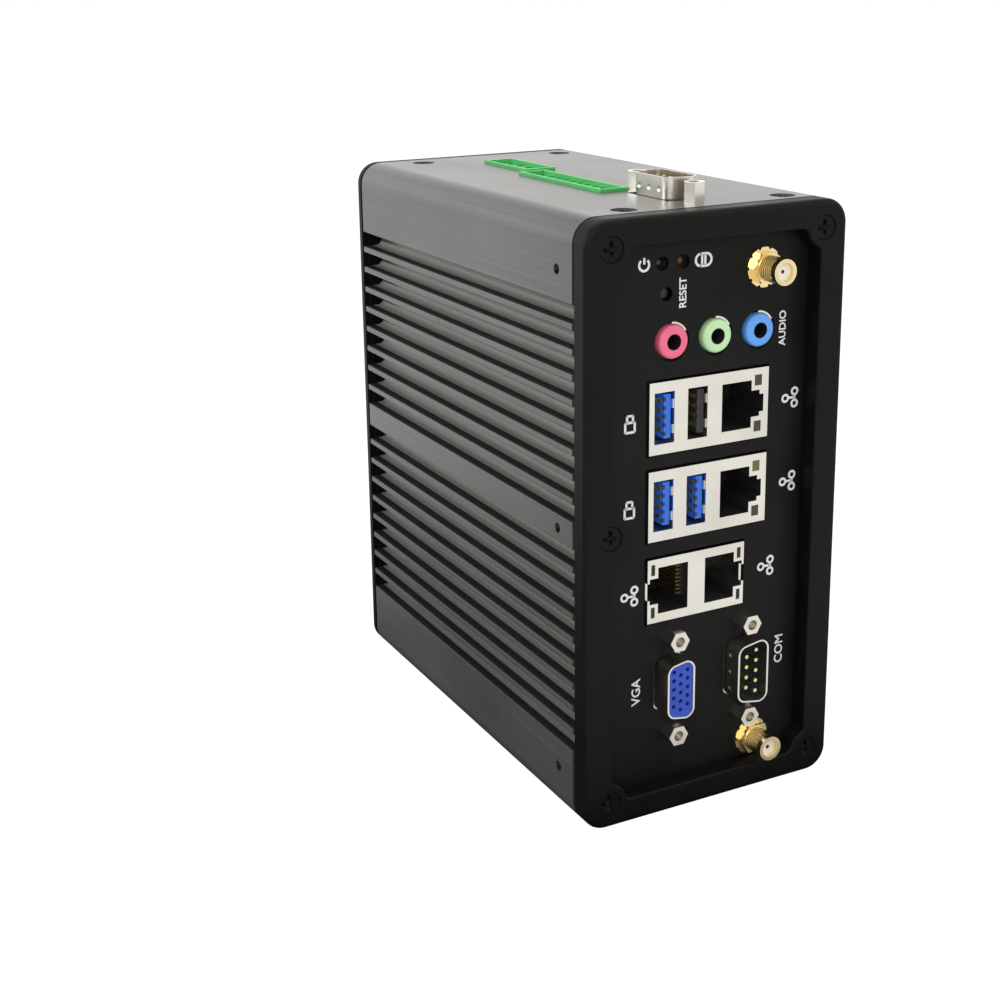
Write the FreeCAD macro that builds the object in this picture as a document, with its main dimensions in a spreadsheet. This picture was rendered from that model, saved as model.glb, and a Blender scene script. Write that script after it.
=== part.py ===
import FreeCAD, Part
import math
import os
import Sketcher

# Fanless DIN-rail computer. Millimetres, +Z up, front towards -Y, fins towards -X.
# The pieces are laid out in case coordinates: x from the left face, y from the front
# face towards the rear and z from the base. Each finished piece is then placed so that
# the part's origin lies under the middle of the case, on the surface it stands on.

os.makedirs("parts", exist_ok=True)
doc = FreeCAD.newDocument("din_rail_computer")
sheet = doc.addObject("Spreadsheet::Sheet", "Sizes")

SIZES = {
    # case
    "case_width": 73.0,
    "case_depth": 132.0,
    "case_height": 150.0,
    "corner_radius": 6.0,
    "edge_round": 1.6,
    "rear_round": 0.96,
    "wall": 3.0,
    "finned_wall": 9.0,
    "cover_thick": 3.2,
    "frame_thick": 5.2,
    "panel_thick": 1.0,
    "plate_thick": 2.6,
    "shadow_gap": 1.0,
    "shadow_inset": 0.7,
    "step_inset": 1.0,
    "frame_side": 7.7,
    "frame_end": 6.7,
    "boss_radius": 4.8,
    "boss_blend": 1.8,
    "frame_lip": 0.5,
    "screw_inset": 6.8,
    "cut_spare": 1.0,
    "rail_width": 5.4,
    "rail_height": 12.0,
    "cover_screw_rise": 8.4,
    "cover_thread_deep": 6.0,
    # cooling grooves
    "groove_pitch": 5.95,
    "groove_open": 4.15,
    "groove_deep": 5.6,
    "groove_root": 1.9,
    "groove_lip": 0.35,
    "groove_count": 9,
    "middle_band": 6.95,
    # fasteners
    "screw_radius": 1.45,
    "thread_radius": 1.5,
    "clear_radius": 1.7,
    "head_radius": 2.9,
    "head_height": 1.5,
    "head_sunk": 0.4,
    "seat_slack": 0.25,
    "screw_length": 16.0,
    "short_screw": 8.0,
    "clip_screw": 7.0,
    "recess_long": 4.1,
    "recess_wide": 1.1,
    "recess_deep": 1.3,
    "touch_gap": 0.3,
    # main board and what it carries
    "board_face": 20.0,
    "board_thick": 1.6,
    "board_front": 8.0,
    "board_rear": 8.0,
    "board_low": 8.0,
    "board_drop": 16.0,
    "post_inset": 16.0,
    "post_rear_inset": 6.0,
    "post_low": 13.0,
    "post_drop": 4.5,
    "post_radius": 2.6,
    "post_stud": 2.5,
    "post_bore": 5.0,
    "pan_head": 1.7,
    "pan_slot": 0.8,
    "processor_back": 74.0,
    "processor_high": 76.0,
    "chip_wide": 26.0,
    "chip_tall": 24.0,
    "chip_thick": 1.2,
    "pad_thick": 0.5,
    "step_wide": 32.0,
    "step_tall": 30.0,
    "step_thick": 3.0,
    "spreader_wide": 44.0,
    "spreader_tall": 48.0,
    "memory_back": 52.0,
    "memory_high": 76.0,
    "memory_socket_tall": 73.0,
    "memory_socket_wide": 7.0,
    "memory_socket_thick": 5.2,
    "memory_tall": 67.6,
    "memory_wide": 30.0,
    "memory_thick": 1.0,
    "memory_lift": 2.7,
    "memory_seat": 3.0,
    "memory_chip_first": 5.8,
    "memory_chip_pitch": 15.3,
    "memory_chip_tall": 10.0,
    "memory_chip_wide": 12.0,
    "memory_chip_side": 9.0,
    "memory_chip_thick": 1.2,
    "card_slack": 0.1,
    "drive_back": 93.0,
    "drive_low": 34.0,
    "drive_socket_wide": 22.0,
    "drive_socket_tall": 6.0,
    "drive_socket_thick": 4.2,
    "drive_wide": 20.0,
    "drive_tall": 80.0,
    "drive_thick": 0.8,
    "drive_lift": 2.1,
    "drive_seat": 3.5,
    "drive_chip_first": 11.5,
    "drive_chip_pitch": 24.0,
    "drive_chip_tall": 18.0,
    "drive_chip_side": 3.0,
    "drive_chip_thick": 1.2,
    "drive_post_radius": 2.4,
    "drive_post_setback": 2.7,
    "cell_back": 106.0,
    "cell_low": 22.0,
    "cell_radius": 10.0,
    "cell_thick": 3.2,
    "cell_slack": 0.3,
    "cup_wall": 1.3,
    "cup_floor": 0.8,
    "cup_tall": 4.0,
    # sockets on the panel
    "socket_proud": 0.6,
    "socket_slack": 0.5,
    "block_tall": 17.7,
    "block_wide": 34.2,
    "block_deep": 21.0,
    "upper_block_mid": 100.8,
    "block_gap": 4.1,
    "twin_tall": 16.4,
    "twin_wide": 28.2,
    "twin_gap": 4.55,
    "usb_long": 12.6,
    "usb_short": 5.6,
    "usb_deep": 13.0,
    "usb_first": 4.2,
    "usb_pitch": 9.4,
    "tongue_long": 10.8,
    "tongue_thick": 1.9,
    "tongue_setback": 1.0,
    "tongue_gap": 0.45,
    "jack_long": 11.9,
    "jack_short": 8.6,
    "jack_deep": 14.0,
    "jack_start": 20.6,
    "latch_wide": 6.6,
    "latch_deep": 2.4,
    "notch_wide": 4.4,
    "notch_deep": 1.2,
    "latch_share": 0.9,
    "liner_wall": 0.8,
    "liner_rim": 1.2,
    "liner_side": 0.6,
    "liner_back": 2.0,
    "light_sunk": 0.15,
    "light_long": 2.7,
    "light_short": 2.1,
    "light_reach": 5.8,
    "slot_reach": 5.5,
    "slot_long": 2.8,
    "slot_short": 1.1,
    "twin_rim": 1.0,
    "contact_pitch": 1.02,
    "contact_wide": 0.44,
    "contact_thick": 0.9,
    "contact_start": 4.0,
    "contact_long": 8.0,
    "shell_face": 0.6,
    # coaxial antenna sockets
    "coax_side": 51.9,
    "coax_drop": 15.7,
    "coax_low": 11.9,
    "coax_proud": 9.0,
    "coax_thread": 3.175,
    "coax_neck": 2.85,
    "coax_bore": 2.3,
    "coax_washer": 4.9,
    "washer_thick": 0.8,
    "washer_teeth": 10,
    "tooth_gap": 0.9,
    "coax_nut": 7.2,
    "coax_nut_thick": 1.8,
    "collar_thick": 2.2,
    "tail_long": 4.0,
    "plug_sunk": 1.2,
    "plug_long": 5.8,
    "centre_radius": 0.65,
    "centre_bore": 0.42,
    "centre_deep": 5.0,
    # indicator lamps, reset
    "lamp_first": 23.5,
    "lamp_second": 29.3,
    "lamp_drop": 12.3,
    "lamp_radius": 1.5,
    "small_hole": 1.7,
    "holder_gap": 1.0,
    "holder_half": 2.4,
    "holder_end": 3.0,
    "holder_deep": 5.2,
    "lamp_seat": 3.5,
    "reset_side": 24.7,
    "reset_drop": 7.3,
    "reset_radius": 1.2,
    "reset_travel": 0.5,
    "button_gap": 0.4,
    "button_seat": 2.0,
    "switch_gap": 3.0,
    "switch_half": 3.0,
    "switch_deep": 4.5,
    "running_gap": 0.05,
    # audio sockets
    "audio_first": 26.3,
    "audio_pitch": 12.35,
    "audio_gap": 9.35,
    "audio_ring": 4.1,
    "audio_bore": 1.85,
    "audio_proud": 1.1,
    "audio_round": 0.8,
    "audio_half": 5.6,
    "audio_setback": 1.2,
    "audio_deep": 12.0,
    "audio_bore_deep": 10.0,
    "shield_thick": 0.5,
    "tab_low": 2.2,
    "tab_wide": 4.0,
    "shield_clear": 1.1,
    "tab_gap": 0.15,
    "tab_thick": 0.45,
    # D-shaped sockets
    "dsub_spacing": 24.99,
    "dsub_mid": 32.2,
    "vga_side": 26.9,
    "com_side": 48.4,
    "dsub_proud": 5.6,
    "top_com_proud": 5.4,
    "dimple_radius": 1.2,
    "dimple_deep": 0.28,
    "dimple_pitch": 4.4,
    "dimple_back": 3.0,
    "vga_long": 16.3,
    "vga_short": 7.9,
    "com_long": 17.8,
    "com_short": 9.2,
    "dsub_slope": 10.0,
    "dsub_round": 2.6,
    "dsub_skin": 0.5,
    "flange_long": 30.8,
    "flange_short": 12.5,
    "flange_thick": 0.8,
    "hex_flats": 4.75,
    "hex_long": 4.8,
    "vga_sunk": 0.3,
    "com_sunk": 5.0,
    "back_clear": 2.6,
    "back_right": 5.6,
    "com_back_left": 9.2,
    "back_deep": 9.0,
    "hole_radius": 0.55,
    "hole_deep": 4.5,
    "hole_pitch": 2.29,
    "hole_rows": 1.98,
    "hole_shift": 0.57,
    "jack_bore": 1.3,
    "jack_bore_deep": 4.0,
    "jack_shank": 6.0,
    "pin_setback": 0.9,
    "pin_radius": 0.5,
    "pin_pitch": 2.77,
    "pin_rows": 2.84,
    # top face
    "top_com_side": 37.5,
    "top_com_back": 26.0,
    "top_base_half": 4.5,
    "top_notch_side": 2.4,
    "long_header_left": 26.8,
    "long_header_wide": 7.9,
    "long_header_front": 38.5,
    "long_header": 43.0,
    "short_header_left": 31.0,
    "short_header_wide": 9.0,
    "short_header_front": 85.0,
    "short_header": 25.6,
    "header_wall": 0.8,
    "header_proud": 0.8,
    "header_rib": 0.8,
    "header_floor": 3.0,
    "header_sunk": 0.9,
    "terminal_pin": 1.0,
    "long_pitch": 3.81,
    "short_pitch": 5.08,
    "top_board_drop": 9.5,
    "top_screw_left": 16.5,
    "top_screw_right": 11.5,
    "side_hole_front": 13.3,
    "side_hole_end": 12.5,
    "side_hole_radius": 1.25,
    "side_hole_deep": 4.5,
    "top_screw_front": 11.0,
    "top_screw_rear": 11.0,
    "top_board_side": 2.0,
    "top_board_rear": 5.0,
    "notch_left": 3.0,
    "notch_right": 4.0,
    "notch_long": 6.0,
    # rail clip
    "rail_mid": 72.0,
    "rail_tall": 35.0,
    "rail_lip": 1.0,
    "clip_wide": 34.0,
    "clip_plate": 4.0,
    "clip_hook": 1.8,
    "clip_overlap": 2.6,
    "clip_drop": 16.0,
    "clip_screw_side": 4.0,
    "clip_screw_rise": 11.0,
    "hook_rise": 3.0,
    "channel_floor": 0.8,
    "channel_rise": 6.0,
    "peg_half": 1.4,
    "peg_tall": 3.0,
    "peg_drop": 14.0,
    "peg_edge": 0.4,
    "latch_drop": 16.0,
    "latch_rise": 1.5,
    "handle_drop": 19.0,
    "handle_tall": 4.0,
    "handle_out": 2.2,
    "nose_slope": 2.0,
    "nose_out": 0.4,
    "nose_low": 6.0,
    "nose_mid": 3.0,
    "nose_high": 0.5,
    "nose_round": 0.6,
    "spring_side": 1.7,
    "latch_wing": 18.0,
    "latch_neck": 12.0,
    "latch_thick": 1.2,
    "spring_long": 8.0,
    "spring_radius": 0.9,
    "spring_wire": 0.22,
    "spring_turns": 7,
}
for row, (alias, number) in enumerate(SIZES.items(), start=1):
    sheet.set(f"A{row}", alias)
    sheet.set(f"B{row}", str(number))
    sheet.setAlias(f"B{row}", alias)
doc.recompute()


class Size:
    """A length that knows both its value and the sheet expression it comes from."""

    def __init__(self, value, text):
        self.value = float(value)
        self.text = text

    @staticmethod
    def of(other):
        return other if isinstance(other, Size) else Size(other, f"{float(other):.6g}")

    def __add__(self, other):
        other = Size.of(other)
        return Size(self.value + other.value, f"({self.text} + {other.text})")

    def __radd__(self, other):
        return Size.of(other) + self

    def __sub__(self, other):
        other = Size.of(other)
        return Size(self.value - other.value, f"({self.text} - {other.text})")

    def __rsub__(self, other):
        return Size.of(other) - self

    def __mul__(self, other):
        other = Size.of(other)
        return Size(self.value * other.value, f"({self.text} * {other.text})")

    def __rmul__(self, other):
        return Size.of(other) * self

    def __truediv__(self, other):
        other = Size.of(other)
        return Size(self.value / other.value, f"({self.text} / {other.text})")

    def __neg__(self):
        return Size.of(0) - self


def size(alias):
    """The named cell as a Size."""
    return Size(sheet.get(alias), f"Sizes.{alias}")


def bind(item, field, amount):
    """Tie one property of an object to its sheet expression."""
    item.setExpression(field, Size.of(amount).text)


def move(item, x, y, z):
    """Put an object's corner or centre at a bound place."""
    spot = (Size.of(x), Size.of(y), Size.of(z))
    turn = item.Placement.Rotation
    item.Placement = FreeCAD.Placement(FreeCAD.Vector(*[s.value for s in spot]), turn)
    for letter, amount in zip("xyz", spot):
        bind(item, f"Placement.Base.{letter}", amount)
    return item


# ---------------------------------------------------------------- primitives

count = {}


def fresh(kind, name):
    """A new document object with a name of its own."""
    count[name] = count.get(name, 0) + 1
    return doc.addObject(kind, f"{name}_{count[name]}")


def block(name, low, high):
    """A box between two corners."""
    item = fresh("Part::Box", name)
    low = [Size.of(v) for v in low]
    high = [Size.of(v) for v in high]
    for field, a, b in zip(("Length", "Width", "Height"), low, high):
        bind(item, field, b - a)
    return move(item, *low)


TURNS = {
    "x": FreeCAD.Rotation(FreeCAD.Vector(0, 1, 0), 90),
    "y": FreeCAD.Rotation(FreeCAD.Vector(1, 0, 0), -90),
    "z": FreeCAD.Rotation(),
}


def rod(name, start, radius, length, along="y"):
    """A cylinder that starts at a point and runs along an axis."""
    item = fresh("Part::Cylinder", name)
    item.Placement.Rotation = TURNS[along]
    bind(item, "Radius", radius)
    bind(item, "Height", length)
    return move(item, *start)


def taper(name, start, first, second, length, along="y"):
    """A cone frustum that starts at a point and runs along an axis."""
    item = fresh("Part::Cone", name)
    item.Placement.Rotation = TURNS[along]
    bind(item, "Radius1", first)
    bind(item, "Radius2", second)
    bind(item, "Height", length)
    return move(item, *start)


def hexagon(name, start, flats, length, along="y"):
    """A hexagonal prism, by its width across flats."""
    item = fresh("Part::Prism", name)
    item.Polygon = 6
    item.Placement.Rotation = TURNS[along]
    bind(item, "Circumradius", Size.of(flats) * (1 / math.sqrt(3)))
    bind(item, "Height", length)
    return move(item, *start)


def fuse(name, *items):
    """One solid out of pieces that meet."""
    item = fresh("Part::MultiFuse", name)
    item.Shapes = list(items)
    item.Refine = True
    return item


def common(name, *items):
    """What all the pieces share."""
    item = fresh("Part::MultiCommon", name)
    item.Shapes = list(items)
    item.Refine = True
    return item


def ball(name, middle, radius):
    """A sphere about a point."""
    item = fresh("Part::Sphere", name)
    bind(item, "Radius", radius)
    return move(item, *middle)


def group(name, *items):
    """Separate solids kept together in one object."""
    item = fresh("Part::Compound", name)
    item.Links = list(items)
    return item


def cut(name, base, *tools):
    """The base with the tools taken away."""
    item = fresh("Part::Cut", name)
    item.Base = base
    item.Tool = tools[0] if len(tools) == 1 else fuse(f"{name}_tools", *tools)
    item.Refine = True
    return item


# ------------------------------------------------------- sketches and bodies


def origin_plane(body, role):
    """One of the body's own origin planes."""
    return [f for f in body.Origin.OriginFeatures if f.Role == role][0]


def new_body(name):
    return doc.addObject("PartDesign::Body", name)


def new_sketch(body, name, role, offset=0):
    """A sketch on an origin plane, moved along the plane's normal by a bound offset."""
    sketch = body.newObject("Sketcher::SketchObject", name)
    sketch.AttachmentSupport = [(origin_plane(body, role), "")]
    sketch.MapMode = "FlatFace"
    bind(sketch, "AttachmentOffset.Base.z", offset)
    return sketch


def pin_point(sketch, line, end, x, y):
    """Fix one end of a line by its distances from the sketch's origin."""
    for kind, amount in (("DistanceX", Size.of(x)), ("DistanceY", Size.of(y))):
        index = sketch.addConstraint(Sketcher.Constraint(kind, -1, 1, line, end, amount.value))
        sketch.setExpression(f"Constraints[{index}]", amount.text)


def polygon(sketch, points):
    """A closed outline of straight lines, each corner fixed from the origin."""
    points = [(Size.of(x), Size.of(y)) for x, y in points]
    vectors = [FreeCAD.Vector(x.value, y.value, 0) for x, y in points]
    first = sketch.GeometryCount
    total = len(points)
    for i in range(total):
        sketch.addGeometry(Part.LineSegment(vectors[i], vectors[(i + 1) % total]), False)
    for i in range(total):
        following = first + (i + 1) % total
        sketch.addConstraint(Sketcher.Constraint("Coincident", first + i, 2, following, 1))
    for i, (x, y) in enumerate(points):
        pin_point(sketch, first + i, 1, x, y)


def rectangle(sketch, left, low, right, high):
    """An upright rectangle between two corners."""
    polygon(sketch, [(left, low), (right, low), (right, high), (left, high)])


def circle(sketch, x, y, radius):
    """A circle with a bound centre and radius."""
    x, y, radius = Size.of(x), Size.of(y), Size.of(radius)
    middle = FreeCAD.Vector(x.value, y.value, 0)
    ring = sketch.addGeometry(Part.Circle(middle, FreeCAD.Vector(0, 0, 1), radius.value), False)
    pin_point(sketch, ring, 3, x, y)
    index = sketch.addConstraint(Sketcher.Constraint("Radius", ring, radius.value))
    sketch.setExpression(f"Constraints[{index}]", radius.text)


def pad(body, sketch, length, name, backwards=True):
    """Extrude a sketch; backwards runs towards the rear from an XZ sketch."""
    feature = body.newObject("PartDesign::Pad", name)
    feature.Profile = sketch
    feature.Reversed = backwards
    bind(feature, "Length", length)
    body.Tip = feature
    doc.recompute()
    return feature


def pocket(body, sketch, length, name):
    """Cut a sketch out of the body towards the rear, and make sure that it removed material."""
    before = body.Shape.Volume
    feature = body.newObject("PartDesign::Pocket", name)
    feature.Profile = sketch
    bind(feature, "Length", length)
    body.Tip = feature
    doc.recompute()
    if not body.Shape.Volume < before:
        raise RuntimeError(f"{name} removes nothing")
    return feature


def edges_where(shape, test):
    """Names of the edges whose ends pass a test."""
    names = []
    for number, edge in enumerate(shape.Edges, start=1):
        if test([vertex.Point for vertex in edge.Vertexes], edge):
            names.append(f"Edge{number}")
    return names


def fillet(body, base, radius, name, test):
    """Round the chosen edges of a body."""
    feature = body.newObject("PartDesign::Fillet", name)
    feature.Base = (base, edges_where(base.Shape, test))
    bind(feature, "Radius", radius)
    body.Tip = feature
    doc.recompute()
    return feature


def runs_along(axis, ends):
    """True for a straight edge parallel to an axis."""
    if len(ends) != 2:
        return False
    span = [abs(ends[0][i] - ends[1][i]) for i in range(3)]
    return span[axis] > 1e-4 and sum(span) - span[axis] < 1e-4


def near(value, target):
    return abs(value - Size.of(target).value) < 1e-3


nodes = []


def place(item, label):
    """Name a finished piece and put it in the part's frame."""
    item.Label = label
    width, depth = size("case_width"), size("case_depth")
    turn = item.Placement.Rotation
    base = item.Placement.Base
    item.Placement = FreeCAD.Placement(base, turn)
    offsets = (-width / 2, -depth / 2, Size.of(0))
    for letter, offset in zip("xyz", offsets):
        found = [text for path, text in item.ExpressionEngine if path.endswith(f"Base.{letter}")]
        text = f"{found[0]} + {offset.text}" if found else offset.text
        item.setExpression(f"Placement.Base.{letter}", text)
    nodes.append(item)
    return item


shared = {}


def share(item, label):
    """Collect like pieces, to be kept together under one name."""
    shared.setdefault(label, []).append(item)


# ------------------------------------------------------------ shared places

width = size("case_width")
depth = size("case_depth")
height = size("case_height")
front = size("frame_thick")
panel_back = front + size("panel_thick")
rear_face = depth - size("plate_thick") - size("shadow_gap")
body_long = rear_face - panel_back
seam = width - size("cover_thick")
inset = size("screw_inset")
gap = size("touch_gap")
board = size("board_face")
spare = size("cut_spare")

LEFT, RIGHT, LOW, HIGH = inset, width - inset, inset, height - inset
MIDDLE = height / 2
UPPER_MID = size("upper_block_mid")
MIDDLE_MID = UPPER_MID - size("block_tall") - size("block_gap")
TWIN_MID = MIDDLE_MID - size("block_tall") / 2 - size("twin_gap") - size("twin_tall") / 2
AUDIO_HIGH = UPPER_MID + size("block_tall") / 2 + size("audio_gap")
COAX_PLACES = (height - size("coax_drop"), size("coax_low"))
LAMP_HIGH = height - size("lamp_drop")
RESET_HIGH = LAMP_HIGH - size("reset_drop")
TOP_BOARD = height - size("wall") - size("top_board_drop")
BOARD_HIGH = height - size("board_drop")
TOP_SCREW_REAR = depth - size("top_screw_rear")
COVER_RISE = size("wall") + size("cover_screw_rise")
COVER_ROWS = (COVER_RISE, height - COVER_RISE)
COVER_COLUMNS = (size("top_screw_front") + size("wall"), TOP_SCREW_REAR - size("wall"))
CORNER_SCREWS = [(LEFT, HIGH), (RIGHT, HIGH), (LEFT, MIDDLE), (LEFT, LOW), (RIGHT, LOW)]


def rounded_slab(body, name, start, length, margin, radius):
    """An upright rounded plate of the case's outline, drawn in by a margin."""
    sketch = new_sketch(body, f"{name}_outline", "XZ_Plane", -start)
    rectangle(sketch, Size.of(margin), Size.of(margin), width - margin, height - margin)
    slab = pad(body, sketch, length, f"{name}_slab")
    return fillet(body, slab, radius, f"{name}_corners", lambda ends, edge: runs_along(1, ends))


# ------------------------------------------------------------- front frame


def make_front_frame():
    """Cast frame: a rounded ring with five screw bosses blended into its inner edge."""
    body = new_body("frame_casting")
    slab = rounded_slab(body, "frame", Size.of(0), front, 0, size("corner_radius"))
    radius = size("edge_round")
    fillet(body, slab, radius, "frame_edge", lambda ends, edge: all(near(p.y, 0) for p in ends))
    side, end = size("frame_side"), size("frame_end")
    sketch = new_sketch(body, "frame_window", "XZ_Plane")
    rectangle(sketch, side, end, width - side, height - end)
    pocket(body, sketch, front, "frame_opening")
    sketch = new_sketch(body, "boss_circles", "XZ_Plane")
    for x, z in CORNER_SCREWS:
        circle(sketch, x, z, size("boss_radius"))
    bosses = pad(body, sketch, front, "frame_bosses")
    inner = (side.value, (width - side).value)
    ends_at = (end.value, (height - end).value)

    def boss_root(ends, edge):
        """The corner where a boss meets the straight inner edge of the frame."""
        if not runs_along(1, ends):
            return False
        x, z = ends[0].x, ends[0].z
        inside = inner[0] - 1e-3 < x < inner[1] + 1e-3 and ends_at[0] - 1e-3 < z < ends_at[1] + 1e-3
        on_edge = min(abs(x - v) for v in inner) < 1e-3 or min(abs(z - v) for v in ends_at) < 1e-3
        return inside and on_edge

    blends = fillet(body, bosses, size("boss_blend"), "boss_blends", boss_root)
    margin = radius.value + size("frame_lip").value

    def opening_lip(ends, edge):
        """The front edge of the opening, away from the frame's own rounded edge."""
        return all(
            near(p.y, 0) and margin < p.x < width.value - margin and margin < p.z < height.value - margin
            for p in ends
        )

    fillet(body, blends, size("frame_lip"), "opening_lip", opening_lip)
    return place(cut("front_frame_drilled", body, *screw_seats(Size.of(0), front)), "front_frame")


def shifted(point, along, amount):
    """A point moved along one axis."""
    return [spot + amount if letter == along else spot for letter, spot in zip("xyz", point)]


def drill(name, mouth, along, inward, depths, radius, far_radius=None):
    """A round tool between two depths below a mouth; a second radius makes it a cone."""
    first, last = Size.of(depths[0]), Size.of(depths[1])
    start = shifted(mouth, along, first if inward > 0 else -last)
    if far_radius is None:
        return rod(name, start, radius, last - first, along)
    ends = (radius, far_radius) if inward > 0 else (far_radius, radius)
    return taper(name, start, *ends, last - first, along)


def seat_tools(mouth, thick, along="y", inward=1):
    """Clearance hole with a countersink, into a face from the point where the screw enters it."""
    wide = size("head_radius") + size("seat_slack")
    clear, sunk, head = size("clear_radius"), size("head_sunk"), size("head_height")
    return [
        drill("clear", mouth, along, inward, (0, thick), clear),
        drill("seat_mouth", mouth, along, inward, (0, sunk), wide),
        drill("seat", mouth, along, inward, (sunk, sunk + head), wide, clear),
    ]


def screw_seats(face, thick, inward=1):
    """The five seats of the corner and side screws."""
    tools = []
    for x, z in CORNER_SCREWS:
        tools += seat_tools((x, face, z), thick, "y", inward)
    return tools


def cross_recess(name, mouth, along, inward):
    """A cross that narrows as it goes down, cut from the top of a screw's head."""
    top = size("head_sunk")
    bottom = top + size("recess_deep")
    long, narrow = size("recess_long") / 2, size("recess_wide") / 2
    arms = []
    for long_axis in [letter for letter in "xyz" if letter != along]:
        low, high = [], []
        for letter, spot in zip("xyz", mouth):
            if letter == along:
                low.append(spot + top if inward > 0 else spot - bottom)
                high.append(spot + bottom if inward > 0 else spot - top)
            else:
                reach = long if letter == long_axis else narrow
                low.append(spot - reach)
                high.append(spot + reach)
        arms.append(block(f"{name}_arm", low, high))
    cone = drill(f"{name}_point", mouth, along, inward, (top, bottom), long, narrow)
    return common(f"{name}_recess", fuse(f"{name}_cross", *arms), cone)


def countersunk_screw(name, mouth, along, inward, length):
    """A countersunk screw, sunk a little below the face that it enters."""
    top = size("head_sunk")
    wide, shank = size("head_radius"), size("screw_radius")
    cone = drill(name, mouth, along, inward, (top, top + size("head_height")), wide, shank)
    pin = drill(name, mouth, along, inward, (top, top + length), shank)
    return cut(name, fuse(name, cone, pin), cross_recess(name, mouth, along, inward))


# ------------------------------------------------------------- front panel


def d_points(x, z, long, short):
    """Corners of a D-shaped outline, upright, with its wide side towards +X."""
    half, reach = Size.of(long) / 2, Size.of(short) / 2
    slant = Size.of(short) * math.tan(math.radians(SIZES["dsub_slope"]))
    return [
        (x - reach, z - half + slant),
        (x + reach, z - half),
        (x + reach, z + half),
        (x - reach, z + half - slant),
    ]


def make_front_panel():
    """Sheet panel behind the frame, drawn in to leave a dark line round the case."""
    body = new_body("front_panel")
    margin = size("shadow_inset")
    thick = size("panel_thick")
    slab = rounded_slab(body, "panel", front, thick, margin, size("corner_radius") - margin)
    slack = size("socket_slack")
    sketch = new_sketch(body, "socket_windows", "XZ_Plane", -front)
    wide, tall = size("block_wide"), size("block_tall") / 2
    for mid in (UPPER_MID, MIDDLE_MID):
        rectangle(sketch, board - slack, mid - tall - slack, board + wide + slack, mid + tall + slack)
    wide, tall, mid = size("twin_wide"), size("twin_tall") / 2, TWIN_MID
    rectangle(sketch, board - slack, mid - tall - slack, board + wide + slack, mid + tall + slack)
    pocket(body, sketch, thick, "socket_openings")
    sketch = new_sketch(body, "shell_windows", "XZ_Plane", -front)
    for side, long, short in DSUBS:
        polygon(sketch, d_points(side, size("dsub_mid"), long + slack * 2, short + slack * 2))
    shells = pocket(body, sketch, thick, "shell_openings")
    reach = size("dsub_spacing").value / 2
    low, high = size("dsub_mid").value - reach, size("dsub_mid").value + reach
    left, right = size("screw_inset").value * 2, width.value - size("screw_inset").value * 2

    def shell_corner(ends, edge):
        """The upright corners of the two D-shaped windows."""
        return runs_along(1, ends) and low < ends[0].z < high and left < ends[0].x < right

    fillet(body, shells, size("dsub_round"), "shell_corners", shell_corner)
    sketch = new_sketch(body, "round_holes", "XZ_Plane", -front)
    for x, z in CORNER_SCREWS:
        circle(sketch, x, z, size("clear_radius"))
    half_spacing = size("dsub_spacing") / 2
    for side, long, short in DSUBS:
        for z in (size("dsub_mid") - half_spacing, size("dsub_mid") + half_spacing):
            circle(sketch, side, z, size("clear_radius"))
    for z in COAX_PLACES:
        circle(sketch, size("coax_side"), z, size("coax_thread") + size("seat_slack"))
    for x in (size("lamp_first"), size("lamp_second")):
        circle(sketch, x, LAMP_HIGH, size("small_hole"))
    circle(sketch, size("reset_side"), RESET_HIGH, size("small_hole"))
    for x in audio_places():
        circle(sketch, x, AUDIO_HIGH, size("audio_ring") + slack + size("seat_slack"))
    pocket(body, sketch, thick, "holes")
    return place(body, "front_panel")


# ----------------------------------------------------------------- chassis


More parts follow.
